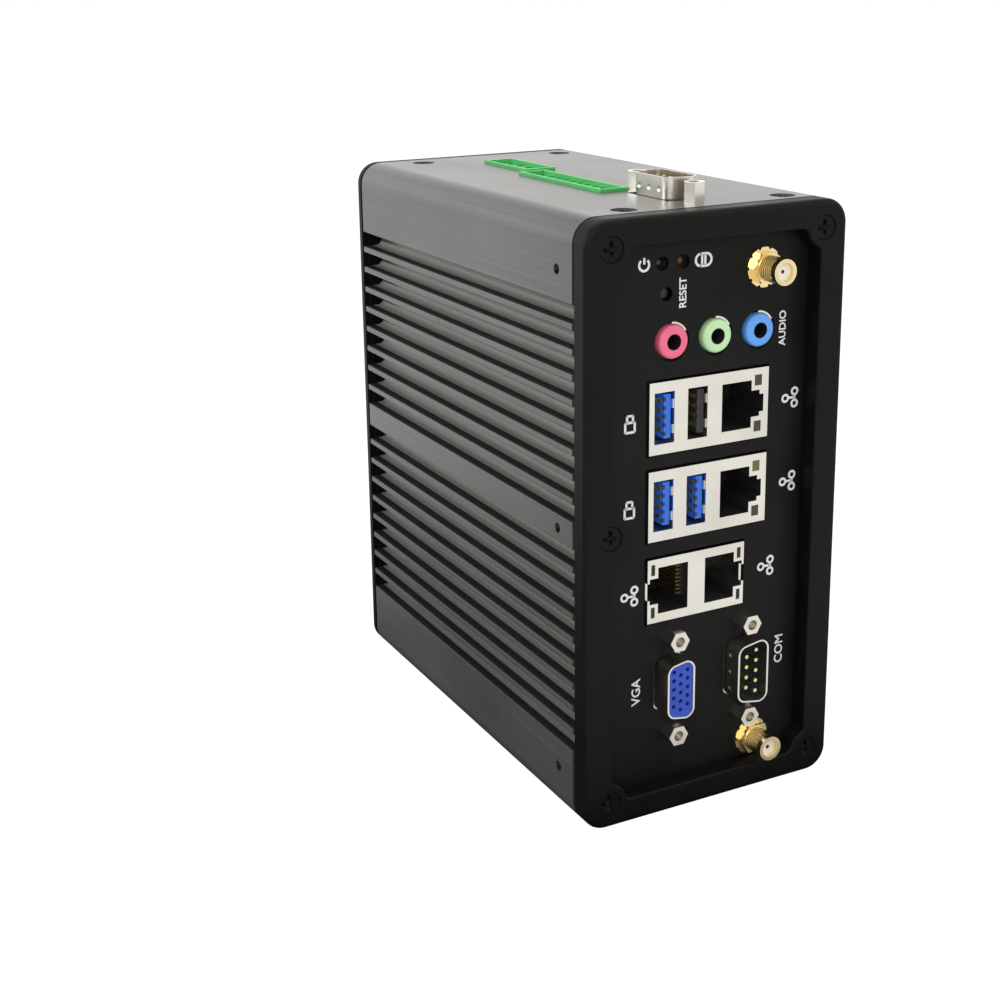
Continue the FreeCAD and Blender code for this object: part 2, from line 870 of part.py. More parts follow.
def make_chassis():
    """Finned aluminium extrusion, open on its right side, with the top face cut for sockets."""
    body = new_body("chassis_extrusion")
    slab = rounded_slab(body, "extrusion", panel_back, body_long, 0, size("corner_radius"))
    wall, fin = size("wall"), size("finned_wall")
    rail_x, rail_z = seam - size("rail_width"), wall + size("rail_height")
    sketch = new_sketch(body, "channel", "XZ_Plane", -panel_back)
    polygon(
        sketch,
        [
            (fin, wall),
            (rail_x, wall),
            (rail_x, rail_z),
            (seam, rail_z),
            (seam, 0),
            (width, 0),
            (width, height),
            (seam, height),
            (seam, height - rail_z),
            (rail_x, height - rail_z),
            (rail_x, height - wall),
            (fin, height - wall),
        ],
    )
    pocket(body, sketch, body_long, "hollow")
    pitch, opening, deep = size("groove_pitch"), size("groove_open"), size("groove_deep")
    groups = []
    starts = (MIDDLE + size("middle_band") / 2, MIDDLE - size("middle_band") / 2 - opening)
    for number, (low, direction) in enumerate(zip(starts, (False, True)), start=1):
        sketch = new_sketch(body, f"groove_{number}", "XZ_Plane", -panel_back)
        rectangle(sketch, -spare, low, deep, low + opening)
        first = pocket(body, sketch, body_long, f"groove_cut_{number}")
        pattern = body.newObject("PartDesign::LinearPattern", f"groove_row_{number}")
        pattern.Originals = [first]
        pattern.Direction = (sketch, ["V_Axis"])
        pattern.Reversed = direction
        pattern.Occurrences = int(size("groove_count").value)
        bind(pattern, "Length", pitch * (size("groove_count") - 1))
        body.Tip = pattern
        doc.recompute()
        groups.append(pattern)

    def groove_edge(x):
        """Long edges of the grooves at a depth from the side face."""
        return lambda ends, edge: runs_along(1, ends) and near(ends[0].x, x) and (
            size("corner_radius").value + 1 < ends[0].z < height.value - size("corner_radius").value - 1
        )

    roots = fillet(body, groups[-1], size("groove_root"), "groove_roots", groove_edge(deep))
    fillet(body, roots, size("groove_lip"), "groove_lips", groove_edge(0))
    sketch = new_sketch(body, "screw_ports", "XZ_Plane", -panel_back)
    for x, z in CORNER_SCREWS:
        circle(sketch, x, z, size("thread_radius"))
    pocket(body, sketch, body_long, "ports")
    tools = []
    for y, z in cover_screw_places():
        start = (seam - size("cover_thread_deep"), y, z)
        deep = size("cover_thread_deep") + spare
        tools.append(rod("cover_thread", start, size("thread_radius"), deep, "x"))
    for z in (size("side_hole_end"), MIDDLE, height - size("side_hole_end")):
        start = (Size.of(0), size("side_hole_front"), z)
        tools.append(rod("side_thread", start, size("side_hole_radius"), size("side_hole_deep"), "x"))
    for x, y in top_screw_places():
        tools += seat_tools((x, y, height), wall + spare, "z", -1)
    for left, wide, start, long in HEADERS:
        low = (left - gap, start - gap, height - wall - spare)
        tools.append(block("header_window", low, (left + wide + gap, start + long + gap, height + spare)))
    middle = size("top_com_back")
    slack = size("socket_slack")
    half_long, half_short = size("com_long") / 2 + slack, size("com_short") / 2 + slack
    side = size("top_com_side")
    low = (side - half_short, middle - half_long, height - wall - spare)
    tools.append(block("shell_window", low, (side + half_short, middle + half_long, height + spare)))
    for sign in (-1, 1):
        y = middle + size("dsub_spacing") * (sign / 2)
        start = (side, y, height - wall - spare)
        tools.append(rod("top_jack", start, size("clear_radius"), wall + spare * 2, "z"))
    for y in POST_ROWS:
        for z in POST_LEVELS:
            deep = size("post_stud") + size("seat_slack") * 2
            start = (fin - deep, y, z)
            tools.append(rod("post_thread", start, size("thread_radius"), deep + spare, "x"))
    return place(cut("chassis_machined", body, *tools), "chassis")


def make_side_cover():
    """Flat cover that closes the open side, with the case's rounded corners."""
    body = new_body("cover_plate")
    slab = rounded_slab(body, "cover", panel_back, body_long, 0, size("corner_radius"))
    sketch = new_sketch(body, "cover_trim", "XZ_Plane", -panel_back)
    rectangle(sketch, -spare, -spare, seam, height + spare)
    pocket(body, sketch, body_long, "cover_split")
    tools = []
    for y, z in cover_screw_places():
        tools += seat_tools((width, y, z), size("cover_thick") + spare, "x", -1)
    return place(cut("side_cover_drilled", body, *tools), "side_cover")


def top_screw_places():
    """Where the four screws go through the top face."""
    sides = (size("top_screw_left"), width - size("top_screw_right"))
    return [(x, y) for x in sides for y in (size("top_screw_front"), TOP_SCREW_REAR)]


def cover_screw_places():
    """Where the four screws of the side cover go into the chassis rails."""
    return [(y, z) for z in COVER_ROWS for y in COVER_COLUMNS]


def make_rear_cover():
    """Rear plate with a raised step that locates on the extrusion and leaves a dark line."""
    body = new_body("rear_plate")
    margin = size("shadow_inset")
    thick = size("plate_thick")
    plate = rounded_slab(body, "rear", depth - thick, thick, 0, size("corner_radius"))

    def rear_edge(ends, edge):
        """The outer edge of the rear face."""
        return all(near(p.y, depth) for p in ends)

    fillet(body, plate, size("rear_round"), "rear_edge", rear_edge)
    sketch = new_sketch(body, "rear_step_outline", "XZ_Plane", -rear_face)
    step = margin + size("step_inset")
    rectangle(sketch, step, step, width - step, height - step)
    pad(body, sketch, size("shadow_gap"), "rear_step")
    tools = screw_seats(depth, size("plate_thick") + size("shadow_gap"), -1)
    for x, z in bracket_screw_places():
        start = (x, rear_face - spare, z)
        tools.append(rod("bracket_thread", start, size("thread_radius"), depth - rear_face + spare * 2))
    return place(cut("rear_cover_drilled", body, *tools), "rear_cover")


# --------------------------------------------------- boards and inner pieces


def make_main_board():
    """Upright circuit board behind the sockets."""
    thick = size("board_thick")
    low = (board - thick, size("board_front"), size("board_low"))
    high = (board, depth - size("board_rear"), BOARD_HIGH)
    slab = block("main_board_sheet", low, high)
    tools = []
    for y, z in post_places():
        start = (board - thick - spare, y, z)
        tools.append(rod("board_hole", start, size("clear_radius"), thick + spare * 2, "x"))
    return place(cut("main_board", slab, *tools), "main_board")


def post_places():
    """Where the board's four posts stand on the finned wall."""
    return [(y, z) for y in POST_ROWS for z in POST_LEVELS]


def make_board_posts():
    """Hexagonal posts between the finned wall and the board, and the screws that hold it."""
    fin = size("finned_wall")
    back = board - size("board_thick")
    stud_long, bore_long, head_long = size("post_stud"), size("post_bore"), size("pan_head")
    half, long = size("recess_wide") / 2, size("recess_long") / 2
    posts, screws = [], []
    for y, z in post_places():
        post = hexagon("post", (fin, y, z), size("post_radius") * 2, back - fin, "x")
        stud = rod("post_stud", (fin - stud_long, y, z), size("screw_radius"), stud_long + spare / 2, "x")
        bore = rod("post_bore", (back - bore_long, y, z), size("thread_radius"), bore_long + spare, "x")
        posts.append(cut("post_drilled", fuse("post_whole", post, stud), bore))
        head = rod("board_screw", (board, y, z), size("head_radius"), head_long, "x")
        start = (board - bore_long, y, z)
        shank = rod("board_screw", start, size("screw_radius"), bore_long + spare / 2, "x")
        low = (board + head_long - size("pan_slot"), y - half, z - long)
        slot = block("board_slot", low, (board + head_long + spare, y + half, z + long))
        screws.append(cut("board_screw_cut", fuse("board_screw_whole", head, shank), slot))
    place(group("board_posts", *posts), "board_posts")
    place(group("board_screws", *screws), "board_screws")


def centred_block(name, near_x, far_x, y, z, wide, tall):
    """A block between two distances from the left face, centred on a place."""
    low = (near_x, y - wide / 2, z - tall / 2)
    return block(name, low, (far_x, y + wide / 2, z + tall / 2))


def make_processor():
    """Processor, thermal pad and the block that carries its heat to the finned wall."""
    back = board - size("board_thick")
    chip_face = back - size("chip_thick")
    pad_face = chip_face - size("pad_thick")
    step_face = pad_face - size("step_thick")
    y, z = size("processor_back"), size("processor_high")
    wide, tall = size("chip_wide"), size("chip_tall")
    place(centred_block("chip", chip_face, back, y, z, wide, tall), "processor")
    place(centred_block("pad", pad_face, chip_face, y, z, wide, tall), "thermal_pad")
    wide, tall = size("spreader_wide"), size("spreader_tall")
    slab = centred_block("spreader", size("finned_wall"), step_face, y, z, wide, tall)
    wide, tall = size("step_wide"), size("step_tall")
    step = centred_block("spreader_step", step_face, pad_face, y, z, wide, tall)
    place(fuse("heat_spreader", slab, step), "heat_spreader")


def make_memory():
    """Laptop-size memory module in its edge socket."""
    y, mid, slack = size("memory_back"), size("memory_high"), size("card_slack")
    half, deep = size("memory_socket_tall") / 2, size("memory_socket_wide")
    far = (board + size("memory_socket_thick"), y + deep, mid + half)
    shell = block("memory_socket_box", (board, y, mid - half), far)
    low, high = board + size("memory_lift"), board + size("memory_lift") + size("memory_thick")
    start, half = y + size("memory_seat"), size("memory_tall") / 2
    far = (high + slack, y + deep + spare, mid + half + slack * 2)
    mouth = block("memory_mouth", (low - slack, start, mid - half - slack * 2), far)
    place(cut("memory_socket", shell, mouth), "memory_socket")
    far = (high, start + size("memory_wide"), mid + half)
    card = block("memory_card", (low, start, mid - half), far)
    chips = []
    for i in range(4):
        left = start + size("memory_chip_side")
        bottom = mid - half + size("memory_chip_first") + size("memory_chip_pitch") * i
        face = high + size("memory_chip_thick")
        far = (face, left + size("memory_chip_wide"), bottom + size("memory_chip_tall"))
        chips.append(block("memory_chip", (high, left, bottom), far))
    place(fuse("memory_module", card, *chips), "memory_module")


def make_storage():
    """Solid-state drive card in its socket, held at its far end by a post."""
    y, z, slack = size("drive_back"), size("drive_low"), size("card_slack")
    wide, tall = size("drive_socket_wide"), size("drive_socket_tall")
    shell = block("drive_socket_box", (board, y, z),
                  (board + size("drive_socket_thick"), y + wide, z + tall))
    low, high = board + size("drive_lift"), board + size("drive_lift") + size("drive_thick")
    left, bottom = y + (wide - size("drive_wide")) / 2, z + tall - size("drive_seat")
    right, top = left + size("drive_wide"), bottom + size("drive_tall")
    mouth_low = (low - slack, left - slack * 2, bottom)
    mouth = block("drive_mouth", mouth_low, (high + slack, right + slack * 2, z + tall + spare))
    place(cut("drive_socket", shell, mouth), "drive_socket")
    card = block("drive_card", (low, left, bottom), (high, right, top))
    chips = []
    side, face = size("drive_chip_side"), high + size("drive_chip_thick")
    for i in range(2):
        foot = bottom + size("drive_chip_first") + size("drive_chip_pitch") * i
        far = (face, right - side, foot + size("drive_chip_tall"))
        chips.append(block("drive_chip", (high, left + side, foot), far))
    place(fuse("drive_module", card, *chips), "drive_module")
    start = (board, (left + right) / 2, top - size("drive_post_setback"))
    place(rod("drive_post", start, size("drive_post_radius"), size("drive_lift"), "x"), "drive_post")


def make_clock_cell():
    """Coin cell that keeps the clock, in its round holder."""
    y, z = size("cell_back"), size("cell_low")
    radius, tall, floor = size("cell_radius"), size("cup_tall"), size("cup_floor")
    room = radius + size("cell_slack")
    cup = rod("cell_cup", (board, y, z), room + size("cup_wall"), tall, "x")
    seat = rod("cell_seat", (board + floor, y, z), room, tall, "x")
    place(cut("cell_holder", cup, seat), "cell_holder")
    place(rod("cell", (board + floor, y, z), radius, size("cell_thick"), "x"), "clock_cell")


# ------------------------------------------------------------- port blocks


def jack_mouth(name, outward, mid, start, length, direction=1):
    """Stepped cavity of a network socket; its latch notch points along +X or -X."""
    half, latch, notch = size("jack_long") / 2, size("latch_wide") / 2, size("notch_wide") / 2
    steps = [
        (Size.of(0), size("jack_short"), half),
        (size("jack_short"), size("latch_deep"), latch),
        (size("jack_short") + size("latch_deep"), size("notch_deep"), notch),
    ]
    boxes = []
    for along, reach, tall in steps:
        near_x, far_x = outward + along * direction, outward + (along + reach) * direction
        low_x, high_x = (near_x, far_x) if direction > 0 else (far_x, near_x)
        boxes.append(block(name, (low_x, start, mid - tall), (high_x, start + length, mid + tall)))
    return fuse(name, *boxes)


def jack_contacts(name, outward, mid, direction=1):
    """Eight spring contacts on the wall that faces the latch."""
    start = front - size("socket_proud") + size("contact_start")
    half, thick = size("contact_wide") / 2, size("contact_thick")
    low_x, high_x = (outward, outward + thick) if direction > 0 else (outward - thick, outward)
    for i in range(8):
        z = mid + size("contact_pitch") * (i - 3.5)
        far = (high_x, start + size("contact_long"), z + half)
        share(block(name, (low_x, start, z - half), far), "lan_contacts")


def beside_latch(mid, reach):
    """Heights of the two windows beside a latch notch."""
    return (mid + reach, mid - reach)


def make_combo_block(prefix, mid, tongues):
    """Two USB sockets and a network socket in one plated shell, stacked out from the board."""
    face = front - size("socket_proud")
    tall, wide = size("block_tall") / 2, size("block_wide")
    skin = size("shell_face")
    inside = face + skin
    far = (board + wide, face + size("block_deep"), mid + tall)
    shell = block(f"{prefix}_shell_box", (board, face, mid - tall), far)
    tools = []
    long, short = size("usb_long") / 2, size("usb_short") / 2
    centres = [board + size("usb_first") + size("usb_pitch") * i for i in range(2)]
    for x in centres:
        start = (x - short, face - spare, mid - long)
        tools.append(block(f"{prefix}_usb", start, (x + short, face + size("usb_deep"), mid + long)))
    jack_x = board + size("jack_start")
    tools.append(jack_mouth(f"{prefix}_mouth", jack_x, mid, face - spare, skin + spare * 1.5))
    rim = tall - size("liner_rim")
    liner_low = (jack_x - size("liner_wall"), inside, mid - rim)
    liner_end = face + size("jack_deep") + size("liner_back")
    liner_high = (board + wide - size("liner_side"), liner_end, mid + rim)
    tools.append(block(f"{prefix}_liner_room", liner_low, liner_high))
    window_x = jack_x + size("jack_short") + size("latch_share")
    window_end = window_x + size("light_short")
    half_long = size("light_long") / 2
    for z in beside_latch(mid, size("light_reach")):
        start = (window_x, face - spare, z - half_long)
        tools.append(block(f"{prefix}_window", start, (window_end, inside + spare / 2, z + half_long)))
        start = (window_x, face + size("light_sunk"), z - half_long)
        share(block(f"{prefix}_light", start, (window_end, inside, z + half_long)), "lan_lights")
    place(cut(f"{prefix}_shell", shell, *tools), f"{prefix}_port_shell")
    liner = block(f"{prefix}_liner", liner_low, liner_high)
    cavity = jack_mouth(f"{prefix}_cavity", jack_x, mid, face, size("jack_deep"))
    share(cut(f"{prefix}_jack", liner, cavity), "lan_sockets")
    jack_contacts(f"{prefix}_lan_contacts", jack_x, mid)
    thick, half, back = size("tongue_thick"), size("tongue_long") / 2, face + size("usb_deep")
    for x, tongue in zip(centres, tongues):
        right = x + short - size("tongue_gap")
        low = (right - thick, face + size("tongue_setback"), mid - half)
        share(block(tongue, low, (right, back, mid + half)), tongue)


def make_twin_block():
    """Two network sockets back to back in one plated shell, latches outwards."""
    face = front - size("socket_proud")
    mid, tall, wide = TWIN_MID, size("twin_tall") / 2, size("twin_wide")
    skin, side = size("shell_face"), size("liner_side")
    inside = face + skin
    far = (board + wide, face + size("block_deep"), mid + tall)
    shell = block("twin_box", (board, face, mid - tall), far)
    reach = size("jack_short") + size("latch_deep") + size("notch_deep")
    rim = tall - size("twin_rim")
    tools = []
    sockets = (("left", board + reach - side, -1), ("right", board + wide - reach + side, 1))
    for name, start, direction in sockets:
        mouth_long = skin + spare * 1.5
        tools.append(jack_mouth(f"twin_{name}_mouth", start, mid, face - spare, mouth_long, direction))
        room = (start - size("liner_wall") * direction, start + (reach - side * 2) * direction)
        low_x, high_x = room if direction > 0 else room[::-1]
        low = (low_x, inside, mid - rim)
        high = (high_x, face + size("jack_deep") + size("liner_back"), mid + rim)
        tools.append(block(f"twin_{name}_room", low, high))
        slot_x = start + (size("jack_short") + size("latch_share")) * direction
        left = slot_x if direction > 0 else slot_x - size("slot_short")
        half = size("slot_long") / 2
        for z in beside_latch(mid, size("slot_reach")):
            slot_end = (left + size("slot_short"), inside + spare / 2, z + half)
            tools.append(block("twin_slot", (left, face - spare, z - half), slot_end))
        liner = block(f"twin_{name}_liner", low, high)
        cavity = jack_mouth(f"twin_{name}_cavity", start, mid, face, size("jack_deep"), direction)
        share(cut(f"twin_{name}_jack", liner, cavity), "lan_sockets")
        jack_contacts(f"lower_{name}_lan_contacts", start, mid, direction)
    place(cut("twin_shell", shell, *tools), "lower_port_shell")


# ------------------------------------------------------ D-shaped connectors


def d_prism(name, x, z, long, short, start, length, radius):
    """A D-shaped prism with rounded corners, standing out along Y."""
    body = new_body(name)
    sketch = new_sketch(body, f"{name}_outline", "XZ_Plane", -Size.of(start))
    polygon(sketch, d_points(x, z, long, short))
    solid = pad(body, sketch, length, f"{name}_pad")
    fillet(body, solid, radius, f"{name}_round", lambda ends, edge: runs_along(1, ends))
    return body


def make_dsub(prefix, side, long, short, male):
    """Plated D-shell on its flange, moulded insert and two hexagonal jack screws."""
    mid, spacing = size("dsub_mid"), size("dsub_spacing")
    mouth = front - size("dsub_proud")
    flange = (
        (side - size("flange_short") / 2, panel_back, mid - size("flange_long") / 2),
        (
            side + size("flange_short") / 2,
            panel_back + size("flange_thick"),
            mid + size("flange_long") / 2,
        ),
    )
    plate = block(f"{prefix}_flange", *flange)
    skin = size("dsub_skin")
    end = panel_back + size("flange_thick")
    radius = size("dsub_round")
    tube = d_prism(f"{prefix}_tube", side, mid, long, short, mouth, end - mouth, radius)
    inner_long, inner_short, inner_round = long - skin * 2, short - skin * 2, radius - skin
    reach = end - mouth + spare * 2
    tools = [d_prism(f"{prefix}_core", side, mid, inner_long, inner_short, mouth - spare, reach,
                     inner_round)]
    if male:
        for step in (-1, 0, 1):
            out = side - short / 2 - size("dimple_radius") + size("dimple_deep")
            middle = (out, mouth + size("dimple_back"), mid + size("dimple_pitch") * step)
            tools.append(ball(f"{prefix}_dimple", middle, size("dimple_radius")))
    for sign in (-1, 1):
        z = mid + spacing * (sign / 2)
        start = (side, panel_back - spare, z)
        tools.append(rod(f"{prefix}_ear", start, size("clear_radius"), size("flange_thick") + spare * 2))
    place(cut(f"{prefix}_shell", fuse(f"{prefix}_body", plate, tube), *tools), f"{prefix}_shell")
    recess = size("com_sunk") if male else size("vga_sunk")
    fill_start, fill_long = mouth + recess, end - mouth - recess
    insert = d_prism(
        f"{prefix}_fill", side, mid, inner_long, inner_short, fill_start, fill_long, inner_round
    )
    half_back = spacing / 2 - size("back_clear")
    back_left = side - size("com_back_left") if male else board
    back = block(
        f"{prefix}_back",
        (back_left, end, mid - half_back),
        (side + size("back_right"), end + size("back_deep"), mid + half_back),
    )
    whole = fuse(f"{prefix}_moulding", insert, back)
    if male:
        place(whole, f"{prefix}_insert")
        for x, z in male_pin_places(side, mid):
            start = (x, mouth + size("pin_setback"), z)
            share(rod("pin", start, size("pin_radius"), recess - size("pin_setback")), "com_pins")
    else:
        holes = []
        for row, shift in ((-1, 0), (0, -0.5), (1, 0)):
            for i in range(5):
                z = mid + size("hole_shift") + size("hole_pitch") * (i - 2 + shift)
                start = (side + size("hole_rows") * row, mouth, z)
                holes.append(rod(f"{prefix}_hole", start, size("hole_radius"), size("hole_deep")))
        place(cut(f"{prefix}_holes", whole, *holes), f"{prefix}_insert")
    for sign in (-1, 1):
        z = mid + spacing * (sign / 2)
        share(jack_screw(f"{prefix}_jack", (side, front, z), "y", -1), "jack_screws")


def male_pin_places(side, mid):
    """Nine pins in rows of four and five; the row of five is on the wide side."""
    half = size("pin_rows") / 2
    four = [(side - half, mid + (i - 1.5) * size("pin_pitch")) for i in range(4)]
    five = [(side + half, mid + (i - 2) * size("pin_pitch")) for i in range(5)]
    return four + five


def jack_screw(name, foot, along, outward):
    """Hexagonal jack screw on a face, with a threaded hole in its outer end."""
    long, bore = size("hex_long"), size("jack_bore_deep")
    inward = -outward
    start = shifted(foot, along, 0 if outward > 0 else -long)
    head = hexagon(name, start, size("hex_flats"), long, along)
    shank = drill(name, foot, along, inward, (0, size("jack_shank")), size("screw_radius"))
    tip = shifted(foot, along, long * outward)
    hole = drill(name, tip, along, inward, (-spare, bore), size("jack_bore"))
    return cut(name, fuse(name, head, shank), hole)


def make_top_dsub():
    """Nine-pin connector that stands up through the top face, its long axis front to rear."""
    side, mid, spacing = size("top_com_side"), size("top_com_back"), size("dsub_spacing")
    under = height - size("wall")
    thick = size("flange_thick")
    mouth = height + size("top_com_proud")
    long, short = size("com_long"), size("com_short")
    skin, radius = size("dsub_skin"), size("dsub_round")
    inner_long, inner_short, inner_round = long - skin * 2, short - skin * 2, radius - skin
    plate = block(
        "top_com_flange",
        (side - size("flange_short") / 2, mid - size("flange_long") / 2, under - thick),
        (side + size("flange_short") / 2, mid + size("flange_long") / 2, under),
    )

    def upright(name, long, short, start, length, radius):
        body = new_body(name)
        sketch = new_sketch(body, f"{name}_outline", "XY_Plane", start)
        polygon(sketch, d_points(side, mid, long, short))
        solid = pad(body, sketch, length, f"{name}_pad", backwards=False)
        fillet(body, solid, radius, f"{name}_round", lambda ends, edge: runs_along(2, ends))
        return body

    low = under - thick
    tube = upright("top_com_tube", long, short, low, mouth - low, radius)
    inner_high = mouth - low + spare * 2
    core = upright("top_com_core", inner_long, inner_short, low - spare, inner_high, inner_round)
    beside = size("long_header_front") - gap
    notch = block(
        "top_com_notch",
        (side - size("flange_short"), beside, low - spare),
        (side - size("top_notch_side"), mid + size("flange_long"), under + spare),
    )
    ears = []
    for sign in (-1, 1):
        start = (side, mid + spacing * (sign / 2), low - spare)
        ears.append(rod("top_com_ear", start, size("clear_radius"), thick + spare * 2, "z"))
    out = side - short / 2 - size("dimple_radius") + size("dimple_deep")
    dimples = [
        ball(
            "top_com_dimple",
            (out, mid + size("dimple_pitch") * step, mouth - size("dimple_back")),
            size("dimple_radius"),
        )
        for step in (-1, 0, 1)
    ]
    whole = fuse("top_com_body", plate, tube)
    place(cut("top_com_shell", whole, core, notch, *ears, *dimples), "top_com_shell")
    floor = mouth - size("com_sunk")
    half_back = spacing / 2 - size("back_clear")
    fill = upright("top_com_fill", inner_long, inner_short, low, floor - low, inner_round)
    base = block(
        "top_com_base",
        (side - size("top_base_half"), mid - half_back, TOP_BOARD),
        (side + size("top_base_half"), mid + half_back, low),
    )
    place(fuse("top_com_insert", fill, base), "top_com_insert")
    for x, y in male_pin_places(side, mid):
        pin_long = size("com_sunk") - size("pin_setback")
        share(rod("top_com_pin", (x, y, floor), size("pin_radius"), pin_long, "z"), "com_pins")
    for sign in (-1, 1):
        start = (side, mid + spacing * (sign / 2), height)
        share(jack_screw("top_com_jack", start, "z", 1), "jack_screws")


# -------------------------------------------------------- terminal headers


def make_header(prefix, place_on_top, pitch, poles):
    """Open terminal header: a moulded trough with a wall between its poles, and square pins."""
    left, wide, start, long = place_on_top
    top = height + size("header_proud")
    wall, rib, deep = size("header_wall"), size("header_rib") / 2, TOP_BOARD + size("header_floor")
    outer = block(f"{prefix}_outer", (left, start, TOP_BOARD), (left + wide, start + long, top))
    inner_left, inner_right = left + wall, left + wide - wall
    far = (inner_right, start + long - wall, top + spare)
    trough = block(f"{prefix}_trough", (inner_left, start + wall, deep), far)
    first = start + (long - pitch * (poles - 1)) / 2
    sunk = top - size("header_sunk")
    ribs = []
    for i in range(poles - 1):
        y = first + pitch * (i + 0.5)
        ribs.append(block(f"{prefix}_rib", (inner_left, y - rib, deep), (inner_right, y + rib, sunk)))
    whole = fuse(f"{prefix}_ribbed", cut(f"{prefix}_shell", outer, trough), *ribs)
    place(whole, f"{prefix}_terminal_header")
    side, half = left + wide / 2, size("terminal_pin") / 2
    for i in range(poles):
        y = first + pitch * i
        low, high = (side - half, y - half, deep), (side + half, y + half, sunk)
        share(block(f"{prefix}_pin", low, high), "terminal_pins")


def make_top_board():
    """Board under the top face that carries the headers and the upper connector."""
    face = TOP_BOARD
    under = height - size("wall")
    thick, start = size("board_thick"), size("board_front")
    low = (size("finned_wall") + size("top_board_side"), start, face - thick)
    high = (seam - size("rail_width") - gap, TOP_SCREW_REAR + size("top_board_rear"), face)
    slab = block("top_board_sheet", low, high)
    notch_low = (size("top_screw_left") + size("notch_left"), start - spare, face - thick - spare)
    notch_right = width - size("top_screw_right") - size("notch_right")
    notch_high = (notch_right, start + size("notch_long"), face + spare)
    notch = block("top_board_notch", notch_low, notch_high)
    posts, bores, bore = [], [], size("thread_radius")
    for x, y in top_screw_places():
        ring = rod("top_post", (x, y, face), size("post_radius"), under - face, "z")
        start, deep = (x, y, face - spare), under - face + spare * 2
        posts.append(cut("top_post_drilled", ring, rod("top_bore", start, bore, deep, "z")))
        start = (x, y, face - thick - spare)
        bores.append(rod("top_board_hole", start, bore, thick + spare * 2, "z"))
        screw = countersunk_screw("top_screw", (x, y, height), "z", -1, size("short_screw"))
        share(screw, "cover_screws")
    place(cut("top_board", slab, notch, *bores), "top_board")
    place(group("top_board_posts", *posts), "top_board_posts")


# ------------------------------------------------- small pieces on the panel


def make_coax(prefix, z):
    """Threaded antenna socket with its lock washer, nut, insulator and centre contact."""
    x = size("coax_side")
    tip = front - size("coax_proud")
    thread, neck, bore = size("coax_thread"), size("coax_neck"), size("coax_bore")
    washer_face = front - size("washer_thick")
    nut_face = washer_face - size("coax_nut_thick")
    barrel = rod(f"{prefix}_barrel", (x, tip, z), thread, nut_face - tip)
    stem = rod(f"{prefix}_stem", (x, nut_face, z), neck, panel_back - nut_face)
    collar_thick = size("collar_thick")
    collar = hexagon(f"{prefix}_collar", (x, panel_back, z), size("coax_nut"), collar_thick)
    tail = rod(f"{prefix}_tail", (x, panel_back + collar_thick, z), bore, size("tail_long"))
    plug_start, plug_long = tip + size("plug_sunk"), size("plug_long")
    hollow_start, hollow_long = tip - spare, size("plug_sunk") + plug_long + spare
    hollow = rod(f"{prefix}_hollow", (x, hollow_start, z), bore, hollow_long)
    whole = fuse(f"{prefix}_whole", barrel, stem, collar, tail)
    share(cut(f"{prefix}_drilled", whole, hollow), "antenna_sockets")
    washer = rod(f"{prefix}_washer", (x, washer_face, z), size("coax_washer"), size("washer_thick"))
    room_start, room_radius = (x, nut_face - spare, z), neck + size("running_gap")
    room_long = front - nut_face + spare * 2
    room = rod(f"{prefix}_room", room_start, room_radius, room_long)
    teeth = []
    teeth_count = int(size("washer_teeth").value)
    for i in range(teeth_count):
        angle = 2 * math.pi * i / teeth_count
        reach = size("coax_washer")
        across, up = x + reach * math.cos(angle), z + reach * math.sin(angle)
        start, deep = (across, washer_face - spare, up), size("washer_thick") + spare * 2
        teeth.append(rod(f"{prefix}_tooth", start, size("tooth_gap") / 2, deep))
    share(cut(f"{prefix}_washer_cut", washer, room, *teeth), "antenna_washers")
    nut = hexagon(f"{prefix}_nut", (x, nut_face, z), size("coax_nut"), size("coax_nut_thick"))
    room = rod(f"{prefix}_room", room_start, room_radius, room_long)
    share(cut(f"{prefix}_nut_cut", nut, room), "antenna_nuts")
    centre = size("centre_radius")
    plug = rod(f"{prefix}_plug", (x, plug_start, z), bore, plug_long)
    hole = rod(f"{prefix}_hole", (x, tip, z), centre, size("plug_sunk") + plug_long)
    share(cut(f"{prefix}_insulator_cut", plug, hole), "antenna_insulators")
    contact = rod(f"{prefix}_contact", (x, plug_start, z), centre, plug_long)
    inner = rod(f"{prefix}_inner", (x, tip, z), size("centre_bore"), size("centre_deep"))
    share(cut(f"{prefix}_contact_cut", contact, inner), "antenna_contacts")


def make_lamps():
    """Two round lamps in one black holder that stands on the board, set back behind the panel."""
    high, radius = LAMP_HIGH, size("lamp_radius")
    start, half = panel_back + size("holder_gap"), size("holder_half")
    far = (size("lamp_second") + size("holder_end"), start + size("holder_deep"), high + half)
    holder = block("lamp_block", (board, start, high - half), far)
    crown = panel_back + gap + radius
    tools = []
    lamps = (("power_lamp", size("lamp_first")), ("drive_lamp", size("lamp_second")))
    for name, x in lamps:
        tools.append(rod("lamp_bore", (x, start - spare, high), radius, size("lamp_seat") + spare))
        tube = rod(name, (x, crown, high), radius, start + size("lamp_seat") - crown)
        place(fuse(name, tube, ball(f"{name}_dome", (x, crown, high), radius)), name)
    place(cut("lamp_holder", holder, *tools), "lamp_holder")


def make_reset():
    """Recessed push button and the switch that holds it."""
    x, z = size("reset_side"), RESET_HIGH
    radius = size("reset_radius")
    start, half = panel_back + size("switch_gap"), size("switch_half")
    button_start, seat = panel_back + size("button_gap"), start + size("button_seat")
    far = (x + half, start + size("switch_deep"), z + half)
    body = block("reset_body", (board, start, z - half), far)
    deep = seat + size("reset_travel") + size("seat_slack") - start
    bore = rod("reset_bore", (x, start - spare, z), radius + size("running_gap"), deep + spare)
    place(cut("reset_switch", body, bore), "reset_switch")
    button = rod("reset_pin", (x, button_start, z), radius, seat - button_start)
    place(button, "reset_button")


